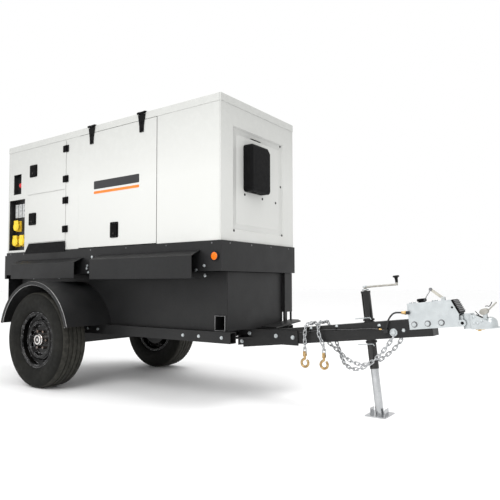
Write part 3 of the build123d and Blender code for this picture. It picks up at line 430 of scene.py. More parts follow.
BRASS = gold_zinc("brass_sleeve", (0.46, 0.29, 0.11), (0.6, 0.43, 0.22))
# light grey for thin beads that stand for painted highlights along edges
HIGHLIGHT_EDGE = zinc("painted_highlight_edge", (0.48, 0.48, 0.48), (0.58, 0.58, 0.58))
# grey for the black nose cap's ribs: a painted highlight on the ridges
RIB_HIGHLIGHT = moulded("rib_painted_highlight", (0.17, 0.17, 0.175), gloss=0.3)
# a darker copy of zinc: painted shade for washers, screws and the lever's chain
SHADED_ZINC = zinc("zinc_painted_shade", (0.15, 0.15, 0.155), (0.27, 0.27, 0.28))

slot_of = {part["node"]: part["material_slot"] for part in frame["record"]["subparts"]}
special = {
    "door_right": door_paint(),
    "outlet_panel": outlet_plastic(),
    "jack_crank": crank_metal(),
    "breakaway_lever": LEVER_CREAM,
    "coupler_latch": LATCH_CAST,
    "jack_tube": black_paint("jack_gloss_black", (0.0035, 0.0035, 0.0037), 0.12, 0.22, 0.5),
    "wiring_harness": moulded("harness_sheath", (0.018, 0.018, 0.019), 0.2, 0.3, 0.1, 0.8),
    "jack_leg": zinc("jack_zinc", (0.42, 0.43, 0.44), (0.5, 0.51, 0.52), 0.12, 0.22),
    "safety_chains": zinc("chain_zinc", (0.41, 0.42, 0.43), (0.5, 0.51, 0.52), 0.2, 0.34),
    "chain_hooks": gold_zinc("hook_chromate", (0.4, 0.25, 0.1), (0.55, 0.4, 0.2)),
}
special["door_left"] = special["door_right"]
for name, obj in frame["nodes"].items():
    obj.data.materials.clear()
    obj.data.materials.append(special.get(name, MATERIALS[slot_of[name]]))


# -------- piece makers
def add_piece(name, part, slot, material=None, body="chassis", smooth=32):
    """A mesh piece that rides on a body, finished with the given material or else with the one made for the
    slot.
    """
    vertices, faces = part
    mesh = bpy.data.meshes.new(name)
    mesh.from_pydata([tuple(v) for v in vertices], [], faces)
    mesh.materials.append(material or MATERIALS[slot])
    mesh.shade_smooth()
    mesh.set_sharp_from_angle(angle=radians(smooth))
    obj = bpy.data.objects.new(name, mesh)
    bpy.context.scene.collection.objects.link(obj)
    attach(obj, body)
    return obj


def join_parts(parts):
    """Several (vertices, faces) as one."""
    vertices, faces = [], []
    for more_vertices, more_faces in parts:
        start = len(vertices)
        vertices.extend(more_vertices)
        faces.extend([tuple(start + i for i in face) for face in more_faces])
    return vertices, faces


def add_parts(name, parts, slot, material=None, body="chassis"):
    add_piece(name, join_parts(parts), slot, material, body)


def placed(part, matrix):
    vertices, faces = part
    return [matrix @ Vector(v) for v in vertices], faces


def lathed(profile, steps=48, wave=None):
    """A closed turning about Z of (radius, height) points, each shifted by wave(index, turn)."""
    vertices = []
    for step in range(steps):
        turn = 2 * pi * step / steps
        for index, (radius, height) in enumerate(profile):
            if wave:
                shift = wave(index, turn)
                radius, height = radius + shift[0], height + shift[1]
            vertices.append((radius * cos(turn), radius * sin(turn), height))
    rows = len(profile)
    faces = []
    for step in range(steps):
        near, far = step * rows, (step + 1) % steps * rows
        for index in range(rows - 1):
            faces.append((near + index, far + index, far + index + 1, near + index + 1))
    return vertices, faces


def prism(outline, low, high, inset=0.0):
    """An upright prism of (x, y) points with a chamfered top edge."""
    count = len(outline)
    centre = Vector((sum(p[0] for p in outline) / count, sum(p[1] for p in outline) / count))
    vertices = [(x, y, low) for x, y in outline]
    vertices += [(x, y, high - inset) for x, y in outline]
    for x, y in outline:
        away = Vector((x, y)) - centre
        shrunk = centre + away * max(0.0, 1 - 1.4 * inset / max(away.length, 1e-6))
        vertices.append((shrunk.x, shrunk.y, high))
    faces = [tuple(reversed(range(count)))]
    for level in (0, count):
        for i in range(count):
            j = (i + 1) % count
            faces.append((level + i, level + j, level + count + j, level + count + i))
    faces.append(tuple(range(2 * count, 3 * count)))
    return vertices, faces


def rounded(width, height, radius, corner=5, centre=(0, 0)):
    """Points of a rectangle with round corners."""
    points = []
    for sx, sy, start in ((1, 1, 0), (-1, 1, 90), (-1, -1, 180), (1, -1, 270)):
        for step in range(corner + 1):
            turn = radians(start + 90 * step / corner)
            points.append((
                centre[0] + sx * (width / 2 - radius) + radius * cos(turn),
                centre[1] + sy * (height / 2 - radius) + radius * sin(turn),
            ))
    return points


def frame_ring(outer, inner, low, high):
    """A flat ring between two outlines with the same number of points."""
    count = len(outer)
    vertices = [(x, y, low) for x, y in outer] + [(x, y, high) for x, y in outer]
    vertices += [(x, y, high) for x, y in inner] + [(x, y, low) for x, y in inner]
    faces = []
    for level in range(4):
        for i in range(count):
            j = (i + 1) % count
            a, b = level * count, (level + 1) % 4 * count
            faces.append((a + i, a + j, b + j, b + i))
    return vertices, faces


def circle(radius, steps=6, turn=0.0):
    turns = [2 * pi * i / steps + turn for i in range(steps)]
    return [(radius * cos(t), radius * sin(t)) for t in turns]


def screw(head=0.006, height=0.003):
    """Pan-head screw with its washer, standing on Z."""
    dome = [(0.0, height), (head * 0.55, height * 0.95), (head * 0.9, height * 0.6), (head, height * 0.25),
            (head, 0.0006), (head * 1.45, 0.0006), (head * 1.5, 0.0), (0.0, 0.0)]
    return lathed(dome, 20)


def at(matrix, x, y, z, turn=0.0):
    return moved(x, y, z) @ matrix @ Matrix.Rotation(turn, 4, "Z")


def wire(points, radius, steps=10, closed=False):
    """A round bar along points, with the same section all the way."""
    vertices, faces = [], []
    points = [Vector(p) for p in points]
    count = len(points)
    side = None
    for i, point in enumerate(points):
        before = points[i - 1] if i or closed else point
        after = points[(i + 1) % count] if i < count - 1 or closed else point
        along = (after - before).normalized()
        side = along.orthogonal() if side is None else side - along * side.dot(along)
        side.normalize()
        up = along.cross(side)
        for step in range(steps):
            turn = 2 * pi * step / steps
            vertices.append(point + radius * (cos(turn) * side + sin(turn) * up))
    for i in range(count if closed else count - 1):
        near, far = i * steps, (i + 1) % count * steps
        for step in range(steps):
            j = (step + 1) % steps
            faces.append((near + step, near + j, far + j, far + step))
    if not closed:
        faces.append(tuple(reversed(range(steps))))
        faces.append(tuple(range((count - 1) * steps, count * steps)))
    return vertices, faces


def smooth_path(points, per_run=8):
    """Catmull-Rom points through a few places."""
    ends = [2 * Vector(points[0]) - Vector(points[1])]
    ends += [Vector(p) for p in points]
    ends.append(2 * Vector(points[-1]) - Vector(points[-2]))
    path = []
    for a, b, c, d in zip(ends, ends[1:], ends[2:], ends[3:]):
        for step in range(per_run):
            t = step / per_run
            path.append(0.5 * (2 * b + (c - a) * t + (2 * a - 5 * b + 4 * c - d) * t * t
                               + (3 * b - a - 3 * c + d) * t ** 3))
    path.append(Vector(points[-1]))
    return path


# -------- camera, floor and light
CAMERA_PLACE = Vector((2.53, -3.037, 0.78))
CAMERA_YAW = 35.313
CAMERA_PITCH = 2.682
CAMERA_ROLL = -0.117


def add_camera():
    data = bpy.data.cameras.new("camera")
    data.lens = 38.01
    data.sensor_width = 36
    data.shift_y = 0.0179
    data.clip_end = 200
    camera = bpy.data.objects.new("camera", data)
    turn = rotated(CAMERA_YAW, "Z") @ rotated(90 + CAMERA_PITCH, "X")
    camera.matrix_world = Matrix.Translation(CAMERA_PLACE) @ turn @ rotated(CAMERA_ROLL, "Z")
    bpy.context.scene.collection.objects.link(camera)
    bpy.context.scene.camera = camera


def add_floor():
    s = Surface("studio_floor", (0.985, 0.985, 0.985), 0.7)
    s.cloud(0.8, (0.975, 0.975, 0.976), 0.4, 0.7, 0.8)
    s.uneven(3, 0.6, 0.75)
    s.bump(s.noise(60, 3), 0.02, 0.001)
    mesh = bpy.data.meshes.new("floor")
    size = 60.0
    corners = [(-size, -size, 0), (size, -size, 0), (size, size, 0), (-size, size, 0)]
    mesh.from_pydata(corners, [], [(0, 1, 2, 3)])
    mesh.materials.append(s.done())
    floor = bpy.data.objects.new("floor", mesh)
    bpy.context.scene.collection.objects.link(floor)


def add_light(name, place, target, size, power):
    data = bpy.data.lights.new(name, "AREA")
    data.shape = "DISK"
    data.size = size
    data.energy = power
    light = bpy.data.objects.new(name, data)
    light.location = place
    light.rotation_euler = (Vector(target) - Vector(place)).to_track_quat("-Z", "Y").to_euler()
    bpy.context.scene.collection.objects.link(light)


def add_studio():
    world = bpy.data.worlds.new("studio")
    world.use_nodes = True
    background = world.node_tree.nodes["Background"]
    background.inputs["Color"].default_value = (1, 1, 1, 1)
    background.inputs["Strength"].default_value = 1.0
    bpy.context.scene.world = world
    bpy.context.scene.view_settings.view_transform = "Standard"
    add_light("key", (0.8, -4.6, 4.2), (-0.5, 0, 0.9), 3.5, 150)
    add_light("top", (0.5, 0.5, 6.5), (0, 0, 0.5), 4.0, 160)
    add_floor()


add_camera()
add_studio()


# -------- wheels
def tyre_profile():
    """Half section of the tyre as (radius, half width) from the bead to the middle of the tread."""
    points = [(0.1925, 0.0605), (0.1925, 0.077), (0.211, 0.0775)]
    inner, outer, steps = 0.211, 0.345, 22
    for step in range(1, steps):
        turn = pi * step / steps
        radius = inner + (outer - inner) * (1 - cos(turn)) / 2
        width = 0.078 + (0.095 - 0.078) * step / steps + 0.0245 * sin(turn)
        ring = 0.0011 if step in (3, 9, 10, 16) else 0.0
        points.append((radius, min(width + ring, 0.1122)))
    points += [(outer, 0.0955), (0.3505, 0.093), (0.3545, 0.088),
               (0.3568, 0.082), (0.3575, 0.074), (0.3578, 0.067)]
    for middle in (0.052, 0.018):
        points += [(0.3585, middle + 0.0065), (0.3583, middle + 0.0042), (0.3512, middle + 0.0032),
                   (0.3512, middle - 0.0032), (0.3586, middle - 0.0042), (0.3589, middle - 0.0065)]
        points.append((0.359, middle - 0.014))
    return points


TREAD_STEPS = 288


def make_tyre(side, name):
    """Treaded tyre in place of the plain one: zigzag grooves, shoulder blocks, sidewall rings."""
    half = tyre_profile()
    profile = half + [(radius, -width) for radius, width in reversed(half[:-1])]
    groove = [i for i, (radius, width) in enumerate(profile) if abs(width) < 0.06 and radius < 0.3588]
    shoulder = [i for i, (radius, width) in enumerate(profile)
                if 0.07 < abs(width) < 0.097 and radius > 0.344]

    def wave(index, turn):
        if index in groove:
            return 0.0, 0.0016 * (2 * abs((turn * 60 / (2 * pi)) % 1 - 0.5) - 0.5) * 2
        if index in shoulder:
            return (-0.0022 if (turn * 72 / (2 * pi)) % 1 < 0.34 else 0.0), 0.0
        return 0.0, 0.0

    vertices, faces = placed(lathed(profile, TREAD_STEPS, wave), wheel_place(side))
    rows = len(profile)
    for step in range(TREAD_STEPS):
        near, far = step * rows, (step + 1) % TREAD_STEPS * rows
        faces.append((near + rows - 1, far + rows - 1, far, near))
    tyre = add_piece(f"tread_{name}", (vertices, faces), "tyre", smooth=40, body=f"wheel_{name}")
    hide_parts(f"tyre_{name}")


def make_hub_trim(side, name):
    """Grease cap with its rubber ring, and a valve stem on the rim."""
    matrix = wheel_place(side)
    collar = lathed([(0.034, 0.056), (0.0375, 0.0575), (0.0385, 0.074), (0.0355, 0.079), (0.029, 0.0805),
                     (0.0255, 0.078), (0.0255, 0.0765), (0.0, 0.0765)], 40)
    add_piece(f"grease_cap_{name}", placed(collar, matrix), "chrome", body=f"wheel_{name}")
    plug = lathed([(0.012, 0.0766), (0.013, 0.0792), (0.0235, 0.0792), (0.025, 0.077)], 32)
    add_piece(f"cap_plug_{name}", placed(plug, matrix), "hose_rubber", body=f"wheel_{name}")
    stem = lathed([(0.0, 0.03), (0.0035, 0.03), (0.004, 0.024), (0.003, 0.023),
                   (0.0055, 0.0), (0.0, 0.0)], 16)
    place = matrix @ moved(0.166, 0.0, 0.04) @ rotated(-25, "Y")
    add_piece(f"valve_stem_{name}", placed(stem, place), "hose_rubber", body=f"wheel_{name}")


for name, side in (("right", -1), ("left", 1)):
    make_tyre(side, name)
    make_hub_trim(side, name)


# -------- enclosure details
def latch_bezel(node, body):
    """Moulded bezel round a flush latch, with its key lock."""
    low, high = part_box(node)
    width, height = high.x - low.x, high.z - low.z
    centre = ((low.x + high.x) / 2, (low.z + high.z) / 2)
    outer = rounded(width + 0.02, height + 0.02, 0.009, centre=centre)
    inner = rounded(width + 0.003, height + 0.003, 0.005, centre=centre)
    ring = placed(frame_ring(outer, inner, DOOR_FACE, DOOR_FACE + 0.0055), facing_right)
    add_piece(f"{node}_bezel", ring, "black_hardware", body=body)
    lock = lathed([(0.0, 0.0035), (0.0035, 0.0035), (0.0045, 0.003), (0.0085, 0.003),
                   (0.0095, 0.0), (0.0, 0.0)], 28)
    place = at(facing_right, centre[0], low.y, low.z + 0.02)
    add_piece(f"{node}_lock", placed(lock, place), "chrome", body=node)
    ribs = [placed(prism(rounded(width * 0.7, 0.004, 0.0018, 3), 0, 0.0015, 0.0006),
                   at(facing_right, centre[0], low.y, high.z - 0.016 - 0.008 * row)) for row in range(3)]
    add_parts(f"{node}_grip", ribs, "black_hardware", body=node)


latch_bezel("latch_right", "door_right")
latch_bezel("latch_upper", "control_upper")
latch_bezel("latch_lower", "control_lower")


def hinge_leaves():
    """Moving leaves of the control door hinges, with their screws."""
    hinge_x = joints["control_upper_swing"]["pos_m"][0]
    for body, heights in HINGE_HEIGHTS.items():
        leaves, screws = [], []
        for z in heights:
            outline = rounded(0.036, 0.054, 0.005, centre=(hinge_x - 0.0235, z))
            leaf = prism(outline, DOOR_FACE, DOOR_FACE + 0.0045, 0.001)
            leaves.append(placed(leaf, facing_right))
            for dz in (-0.016, 0.016):
                place = at(facing_right, hinge_x - 0.026, -DOOR_FACE - 0.0045, z + dz)
                screws.append(placed(screw(0.0042, 0.0018), place))
        add_parts(f"{body}_leaves", leaves, "black_hardware", body=body)
        add_parts(f"{body}_leaf_screws", screws, "black_hardware", body=body)
    screws = []
    for z in HINGE_HEIGHTS["control_upper"] + HINGE_HEIGHTS["control_lower"]:
        for dz in (-0.016, 0.016):
            screws.append(placed(screw(0.004, 0.0018), at(facing_right, hinge_x + 0.016, -0.452, z + dz)))
    add_parts("bracket_screws", screws, "black_hardware")


def strap_screws():
    """Two screws through each roof hinge strap."""
    for name, side, facing in SIDES:
        screws = []
        for x in (-0.799, -0.246):
            for z in (1.93, 1.88):
                screws.append(placed(screw(0.007, 0.004), at(facing, x, side * (DOOR_FACE + 0.006), z)))
        add_parts(f"strap_screws_{name}", screws, "black_hardware", body=f"door_{name}")


def front_rivets():
    """Rivets on the recess floor of the front wall and around it."""
    spots = [(-0.171, 1.38), (0.041, 1.377), (0.214, 1.37), (0.277, 1.802), (0.281, 1.498), (0.282, 1.136),
             (-0.306, 1.126)]
    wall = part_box("front_panel")[1].x
    rivets = []
    for y, z in spots:
        on_floor = abs(y - RECESS_Y) < 0.297 and abs(z - RECESS_Z) < 0.332
        place = at(facing_front, RECESS_FACE if on_floor else wall, y, z)
        rivets.append(placed(screw(0.0058, 0.0032), place))
    add_parts("front_rivets", rivets, "black_hardware")


def document_lid():
    """Lid of the document box, its hinge knuckles, and the moulded ribs along its foot."""
    low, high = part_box("document_box")
    width, height = high.y - low.y, high.z - low.z
    centre = ((low.y + high.y) / 2, (low.z + high.z) / 2)
    w, h = width / 2 - 0.014, height / 2 - 0.014
    outline = [(centre[0] + sy * (w - 0.012) + 0.012 * cos(t), centre[1] + sz * (h - 0.012) + 0.012 * sin(t))
               for sy, sz, start in ((-1, 1, 90), (-1, -1, 180), (1, -1, 270))
               for t in (radians(start + 15 * step) for step in range(7))]
    outline += [(centre[0] + w, centre[1] + h - 0.045), (centre[0] + w - 0.032, centre[1] + h - 0.012),
                (centre[0] + w - 0.032, centre[1] + h)]
    add_piece("document_lid", placed(prism(outline, high.x - 0.001, high.x + 0.0025, 0.0015), facing_front),
              "black_plastic")
    knuckle = lathed([(0.0, 0.022), (0.005, 0.022), (0.006, 0.02), (0.006, 0.002),
                      (0.005, 0.0), (0.0, 0.0)], 20)
    knuckles = []
    for y in (low.y + 0.06, high.y - 0.085):
        place = moved(high.x - 0.022, y, high.z) @ rotated(-90, "X")
        knuckles.append(placed(knuckle, place))
    add_parts("document_knuckles", knuckles, "black_plastic")
    ribs = []
    for step in range(5):
        y = low.y + 0.045 + 0.035 * step
        rib = prism(rounded(0.006, 0.046, 0.0025, 3), 0, 0.0022, 0.0008)
        ribs.append(placed(rib, at(rotated(180, "X"), RECESS_FACE + 0.034, y, low.z, radians(90))))
    add_parts("document_ribs", ribs, "black_plastic")


def lamp_lenses():
    """Faceted lenses over the lamps."""
    def star(index, turn):
        return 0.0, (0.0009 if round(turn * 24 / (2 * pi)) % 2 else -0.0009) * (index in (1, 2))

    profile = [(0.0, 0.0155), (0.009, 0.015), (0.0175, 0.014), (0.0245, 0.0105), (0.0265, 0.0052)]
    lens = lathed(profile, 24, star)
    for name, side, facing in SIDES:
        place = at(facing, 0.427, side * SKID_FACE, 0.955)
        add_piece(f"marker_lens_{name}", placed(lens, place), "lamp_lens", AMBER, smooth=20)
        ring = lathed([(0.0262, 0.0), (0.0262, 0.0075), (0.0285, 0.0088),
                       (0.032, 0.0062), (0.0325, 0.0)], 40)
        add_piece(f"marker_ring_{name}", placed(ring, place), "black_plastic")
        place = at(facing_rear, -1.975, side * 0.36, 0.93)
        add_piece(f"tail_lens_{name}", placed(lens, place), "lamp_lens", RED_LENS, smooth=20)


def side_stripes():
    """Two plain stripes on each big door."""
    for name, side, facing in SIDES:
        for label, material, z, height in (
                ("upper", GREY_DECAL, 1.535, 0.062), ("lower", ORANGE_DECAL, 1.478, 0.02)):
            stripe = placed(prism(rounded(0.5, height, 0.006, 4), 0, 0.0006),
                            at(facing, -0.52, side * DOOR_FACE, z))
            add_piece(f"stripe_{label}_{name}", stripe, "black_plastic", material, body=f"door_{name}")


def door_liners():
    """Perforated liner board inside each big door, held by clips; its holes are dark dots of painted shade.
    """
    s = Surface("liner_board", (0.05, 0.05, 0.052), 0.7)
    values = {"Vector": s.place, "Scale": 110.0, "Randomness": 0.0}
    cells = s.node("ShaderNodeTexVoronoi", values).outputs["Distance"]
    # painted shade: dark dots where the perforations are, with no holes cut
    s.tint(s.spread(cells, 0.34, 0.26), (0.004, 0.004, 0.004))
    s.cloud(6, (0.075, 0.074, 0.072), 0.4, 0.7, 0.5)
    s.uneven(20, 0.6, 0.8)
    s.bump(s.spread(cells, 0.26, 0.34), 0.5, 0.001)
    liner = s.done()
    for name, side in (("right", -1), ("left", 1)):
        facing = facing_left if side < 0 else facing_right
        board = prism(rounded(0.8, 0.82, 0.02, 5), 0, 0.0075, 0.003)
        place = at(facing, -0.527, side * (DOOR_FACE - 0.003), 1.504)
        add_piece(f"door_liner_{name}", placed(board, place), "black_plastic", liner, body=f"door_{name}")
        clips = []
        for x in (-0.86, -0.64, -0.42, -0.2):
            for z in (1.14, 1.5, 1.86):
                clips.append(placed(screw(0.012, 0.003), at(facing, x, side * (DOOR_FACE - 0.0105), z)))
        add_parts(f"liner_clips_{name}", clips, "black_plastic", body=f"door_{name}")


def handle_left():
    """The same flush latch on the left door."""
    low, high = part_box("latch_right")
    centre = ((low.x + high.x) / 2, (low.z + high.z) / 2)
    outer = rounded(0.086, 0.115, 0.009)
    inner = rounded(0.069, 0.098, 0.005)
    place = at(facing_left, centre[0], DOOR_FACE, centre[1])
    bezel = frame_ring(outer, inner, 0, 0.0055)
    add_piece("latch_left_bezel", placed(bezel, place), "black_hardware", body="door_left")
    plate = prism(rounded(0.066, 0.095, 0.004), 0, 0.004, 0.001)
    add_piece("latch_left_plate", placed(plate, place), "black_hardware", body="door_left")
    lock = lathed([(0.0, 0.0075), (0.0045, 0.007), (0.0085, 0.007), (0.0095, 0.004), (0.0, 0.004)], 28)
    place = at(facing_left, centre[0], DOOR_FACE, low.z + 0.02)
    add_piece("latch_left_lock", placed(lock, place), "chrome", body="door_left")


hinge_leaves()
strap_screws()
front_rivets()
document_lid()
lamp_lenses()
side_stripes()
door_liners()
handle_left()


# -------- outlets and controls
def receptacle_details():
    """Finger lip and round rim on each spring cover."""
    for index in range(3):
        node = f"receptacle_cover_{index + 1}"
        low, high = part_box(node)
        x = (low.x + high.x) / 2
        lip = prism(rounded(0.03, 0.012, 0.004), 0, 0.005, 0.002)
        body = f"cover_{index + 1}"
        place = at(facing_right, x, OUTLET_FACE, low.z + 0.01)
        add_piece(f"{node}_lip", placed(lip, place), "yellow_plastic", body=body)
        rim = lathed([(0.026, 0.0), (0.0275, 0.0028), (0.03, 0.0028), (0.0315, 0.0)], 40)
        place = at(facing_right, x, OUTLET_FACE, low.z + 0.04)
        add_piece(f"{node}_rim", placed(rim, place), "yellow_plastic", body=body)


def gauges():
    """Three dials with ticks and needles, and the controller's screen."""
    dial_z = 1.79
    dials, marks, bezels = [], [], []
    for column in range(3):
        x = -1.37 + 0.08 * column
        place = at(facing_right, x, GAUGE_FACE, dial_z)
        dials.append(placed(lathed([(0.0, 0.0006), (0.0255, 0.0006), (0.0265, 0.0)], 40), place))
        rim = [(0.0262, 0.0), (0.0262, 0.0035), (0.0285, 0.0042), (0.0302, 0.003), (0.0302, -0.004)]
        bezels.append(placed(lathed(rim, 40), place))
        for tick in range(11):
            turn = radians(225 - 27 * tick)
            outline = [(0.018, -0.0006), (0.023, -0.0006), (0.023, 0.0006), (0.018, 0.0006)]
            mark = prism(outline, 0.0006, 0.0009)
            marks.append(placed(mark, at(facing_right, x, GAUGE_FACE, dial_z, turn)))
        needle = prism([(-0.004, -0.0012), (0.019, 0.0), (-0.004, 0.0012)], 0.0009, 0.0015)
        turn = radians(200 - 50 * column)
        marks.append(placed(needle, at(facing_right, x, GAUGE_FACE, dial_z, turn)))
    add_parts("gauge_dials", dials, "control_face", DIAL_WHITE)
    add_parts("gauge_marks", marks, "black_plastic")
    add_parts("gauge_bezels", bezels, "chrome", MATERIALS["zinc"])
    screen = prism(rounded(0.1, 0.062, 0.004), 0, 0.001)
    glass = Surface("screen_glass", (0.03, 0.06, 0.07), 0.1, coat=0.6)
    glass.cloud(120, (0.05, 0.12, 0.11), 0.45, 0.6, 0.7)
    glass.uneven(60, 0.08, 0.16)
    place = at(facing_right, -1.51, CONTROLLER_FACE, 1.8)
    add_piece("controller_screen", placed(screen, place), "black_plastic", glass.done())
    keys = []
    for column in range(5):
        key = prism(rounded(0.014, 0.01, 0.003), 0, 0.0022, 0.0008)
        keys.append(placed(key, at(facing_right, -1.56 + 0.025 * column, CONTROLLER_FACE, 1.745)))
    add_parts("controller_keys", keys, "black_plastic")


def stop_collar():
    """Yellow collar under the stop button."""
    low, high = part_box("estop_button")
    x, z = (low.x + high.x) / 2, (low.z + high.z) / 2
    collar = lathed([(0.0255, 0.0), (0.027, 0.0045), (0.0215, 0.005), (0.021, 0.0)], 36)
    add_piece("stop_collar", placed(collar, at(facing_right, x, -0.399, z)), "yellow_plastic")


receptacle_details()
gauges()
stop_collar()


# -------- hitch details
def on_side(u, w):
    """A place on the right face of the actuator, looking out along -Y."""
    return tongue_at(u, HOUSING_FACE, w) @ facing_right


def actuator_details():
    """Nose cap with its ribs in painted highlight grey, a black disc of painted shade for the side hole,
    guide lug with a black disc of painted shade in its bore, washers in painted shade zinc and top bolts of
    the brake housing.
    """
    lean = atan2(0.034, 0.08)
    middle = Vector((1.061, 0, 0.1))
    cap = prism(rounded(0.082, 0.122, 0.006), 0.0, 0.01, 0.003)
    place = on_tongue @ Matrix.Translation(middle) @ Matrix.Rotation(radians(90) - lean, 4, "Y")
    add_piece("nose_cap", placed(cap, place), "black_plastic")
    ribs = [placed(prism(rounded(0.0052, 0.112, 0.0018, 3), 0.01, 0.0145, 0.0006),
                   place @ moved(-0.031 + 0.0103 * row, 0, 0)) for row in range(7)]
    # painted highlight: the cap's ribs are grey on the black cap
    add_parts("nose_cap_ribs", ribs, "black_plastic", RIB_HIGHLIGHT)
    # painted shade: a thin black disc stands for the shade in the side hole
    hole_shade_disc = lathed([(0.0, 0.0003), (0.0055, 0.0003), (0.006, 0.0)], 24)
    add_piece("side_hole_shade", placed(hole_shade_disc, on_side(1.046, 0.098)), "black_plastic")
    lug = lathed([(0.0085, 0.0), (0.0085, 0.008), (0.01, 0.009), (0.017, 0.009),
                  (0.0185, 0.007), (0.0185, 0.0)], 32)
    add_piece("guide_lug", placed(lug, on_side(1.09, 0.01)), "zinc")
    # painted shade: a black disc stands for the shade in the lug's bore
    plug = lathed([(0.0, 0.004), (0.0085, 0.004)], 24)
    add_piece("guide_lug_bore_shade", placed(plug, on_side(1.09, 0.01)), "black_plastic")
    washers = []
    for u in (0.83, 0.905, 0.98):
        ring = lathed([(0.0, 0.0022), (0.0165, 0.0022), (0.0175, 0.0012), (0.0175, 0.0), (0.0, 0.0)], 28)
        washers.append(placed(ring, on_side(u, 0.02)))
    # painted shade: the washers take the darker zinc copy
    add_parts("housing_washers", washers, "zinc", SHADED_ZINC)
    head = prism(circle(0.008, 6, 0.3), 0, 0.006, 0.0012)
    bolt_heads = [placed(head, tongue_at(u, y, 0.14))
                  for u, y in ((0.815, -0.035), (0.815, 0.035), (0.925, 0.03), (0.955, -0.01))]
    add_parts("housing_top_bolts", bolt_heads, "zinc")


def filler_cap():
    """Knurled cap on the brake fluid filler."""
    def knurl(index, turn):
        return (0.0008 if round(turn * 48 / (2 * pi)) % 2 else 0.0) * (index in (1, 2)), 0.0

    cap = lathed([(0.0245, 0.1455), (0.0262, 0.147), (0.0262, 0.158), (0.0235, 0.1612),
                  (0.0, 0.1625)], 48, knurl)
    add_piece("filler_cap_grip", placed(cap, tongue_at(0.87, 0, 0)), "black_plastic")


def coupler_details():
    """Rivets, rolled lip and ball clamp of the coupler."""
    lip_radius, lip_start, lip_w, ball_u = 0.0388, 1.152, -0.028, 1.22
    rivets = []
    for u, w in ((1.146, 0.035), (1.16, 0.002), (1.144, 0.004), (1.18, 0.012)):
        depth = 0.041 - max(0.0, u - 1.15) * 0.114
        dome = lathed([(0.0, 0.0042), (0.004, 0.0036), (0.0068, 0.0016), (0.0075, 0.0)], 24)
        rivets.append(placed(dome, tongue_at(u, -depth, w) @ facing_right))
        rivets.append(placed(dome, tongue_at(u, depth, w) @ facing_left))
    add_parts("coupler_rivets", rivets, "zinc", body="coupler")
    bead = [on_tongue @ Vector((lip_start, -lip_radius, lip_w))]
    for step in range(33):
        turn = radians(-90 + 180 * step / 32)
        bead.append(on_tongue @ Vector((ball_u + lip_radius * cos(turn), lip_radius * sin(turn), lip_w)))
    bead.append(on_tongue @ Vector((lip_start, lip_radius, lip_w)))
    add_piece("coupler_lip_bead", wire(bead, 0.0026), "zinc", body="coupler")
    clamp = prism(rounded(0.046, 0.034, 0.008), 0, 0.006, 0.0015)
    add_piece("ball_clamp", placed(clamp, tongue_at(1.164, 0, -0.034)), "gold_zinc", body="coupler")
    nut = prism(circle(0.009), 0, 0.007, 0.0015)
    add_piece("ball_clamp_nut", placed(nut, tongue_at(1.158, 0, -0.041)), "gold_zinc", body="coupler")


def latch_details():
    """Pear-shaped cheeks and clip of the coupler latch, with its safety pin and base strap."""
    pivot = tongue_at(1.196, 0, 0.06)
    outline = [(0.0205 * cos(t) * (1.2 if cos(t) > 0 else 1.0), 0.0165 * sin(t)) for t in
               (2 * pi * i / 28 for i in range(28))]
    cheeks = []
    for y in (-0.0145, 0.0145):
        cheek = prism(outline, -0.0014, 0.0014, 0.0004)
        place = pivot @ moved(-0.004, y, 0) @ facing_right @ rotated(15, "Z")
        cheeks.append(placed(cheek, place))
    add_parts("latch_cheeks", cheeks, "zinc", LATCH_CAST, body="coupler_latch")
    clip = smooth_path([(u, -0.0085, w) for u, w in
                        ((0.008, 0.028), (0.018, 0.029), (0.027, 0.026), (0.036, 0.034), (0.044, 0.048))])
    add_piece("latch_clip", wire([pivot @ p for p in clip], 0.0022), "black_plastic", body="coupler_latch")
    pin = smooth_path([(1.154, -0.019, 0.066), (1.158, -0.02, 0.059),
                       (1.164, -0.02, 0.052), (1.17, -0.019, 0.045)])
    add_piece("latch_pin", wire([on_tongue @ p for p in pin], 0.002), "black_plastic", body="coupler")
    strap = prism(rounded(0.034, 0.03, 0.004), -0.001, 0.0028, 0.001)
    place = tongue_at(1.166, 0, 0.0375) @ rotated(30.3, "Y")
    add_piece("latch_strap", placed(strap, place), "black_hardware", body="coupler")


def hose_sleeve():
    """Brass sleeve where the brake hose leaves the housing."""
    sleeve = lathed([(0.007, 0.0), (0.0086, 0.0012), (0.0086, 0.018), (0.0112, 0.0188), (0.0112, 0.0268),
                     (0.007, 0.0268)], 24)
    place = moved(1.486, -0.067, 0.613) @ rotated(90, "Y")
    add_piece("hose_sleeve", placed(sleeve, place), "gold_zinc", BRASS)


def breakaway_details():
    """Tip clip of the breakaway lever and the short chain that hangs from it, both in a darker zinc of
    painted shade.
    """
    pivot = Vector((1.000, -0.034, 0.151))
    tip = pivot + 0.084 * Vector((-cos(radians(42)), 0, sin(radians(42))))
    place = on_tongue @ Matrix.Translation(tip) @ facing_right
    collar = lathed([(0.0, -0.006), (0.0085, -0.006), (0.0095, -0.004), (0.0095, 0.004),
                     (0.0085, 0.006), (0.0, 0.006)], 24)
    # painted shade: the tip collar and the chain take the darker zinc copy
    add_piece("lever_tip", placed(collar, place), "zinc", SHADED_ZINC, body="breakaway_lever")
    foot = Vector((0.893, -0.034, 0.1475))
    links = []
    count = 9
    for index in range(count):
        centre = tip.lerp(foot, (index + 0.7) / (count + 0.4))
        along = (foot - tip).normalized()
        side = Vector((0, 1, 0)) if index % 2 else along.cross(Vector((0, 1, 0)))
        loop = [centre + along * 0.0052 * cos(t) + side * 0.003 * sin(t)
                for t in (2 * pi * i / 14 for i in range(14))]
        links.append(wire([on_tongue @ p for p in loop], 0.001, 6, closed=True))
    add_parts("lever_chain", links, "zinc", SHADED_ZINC, body="breakaway_lever")


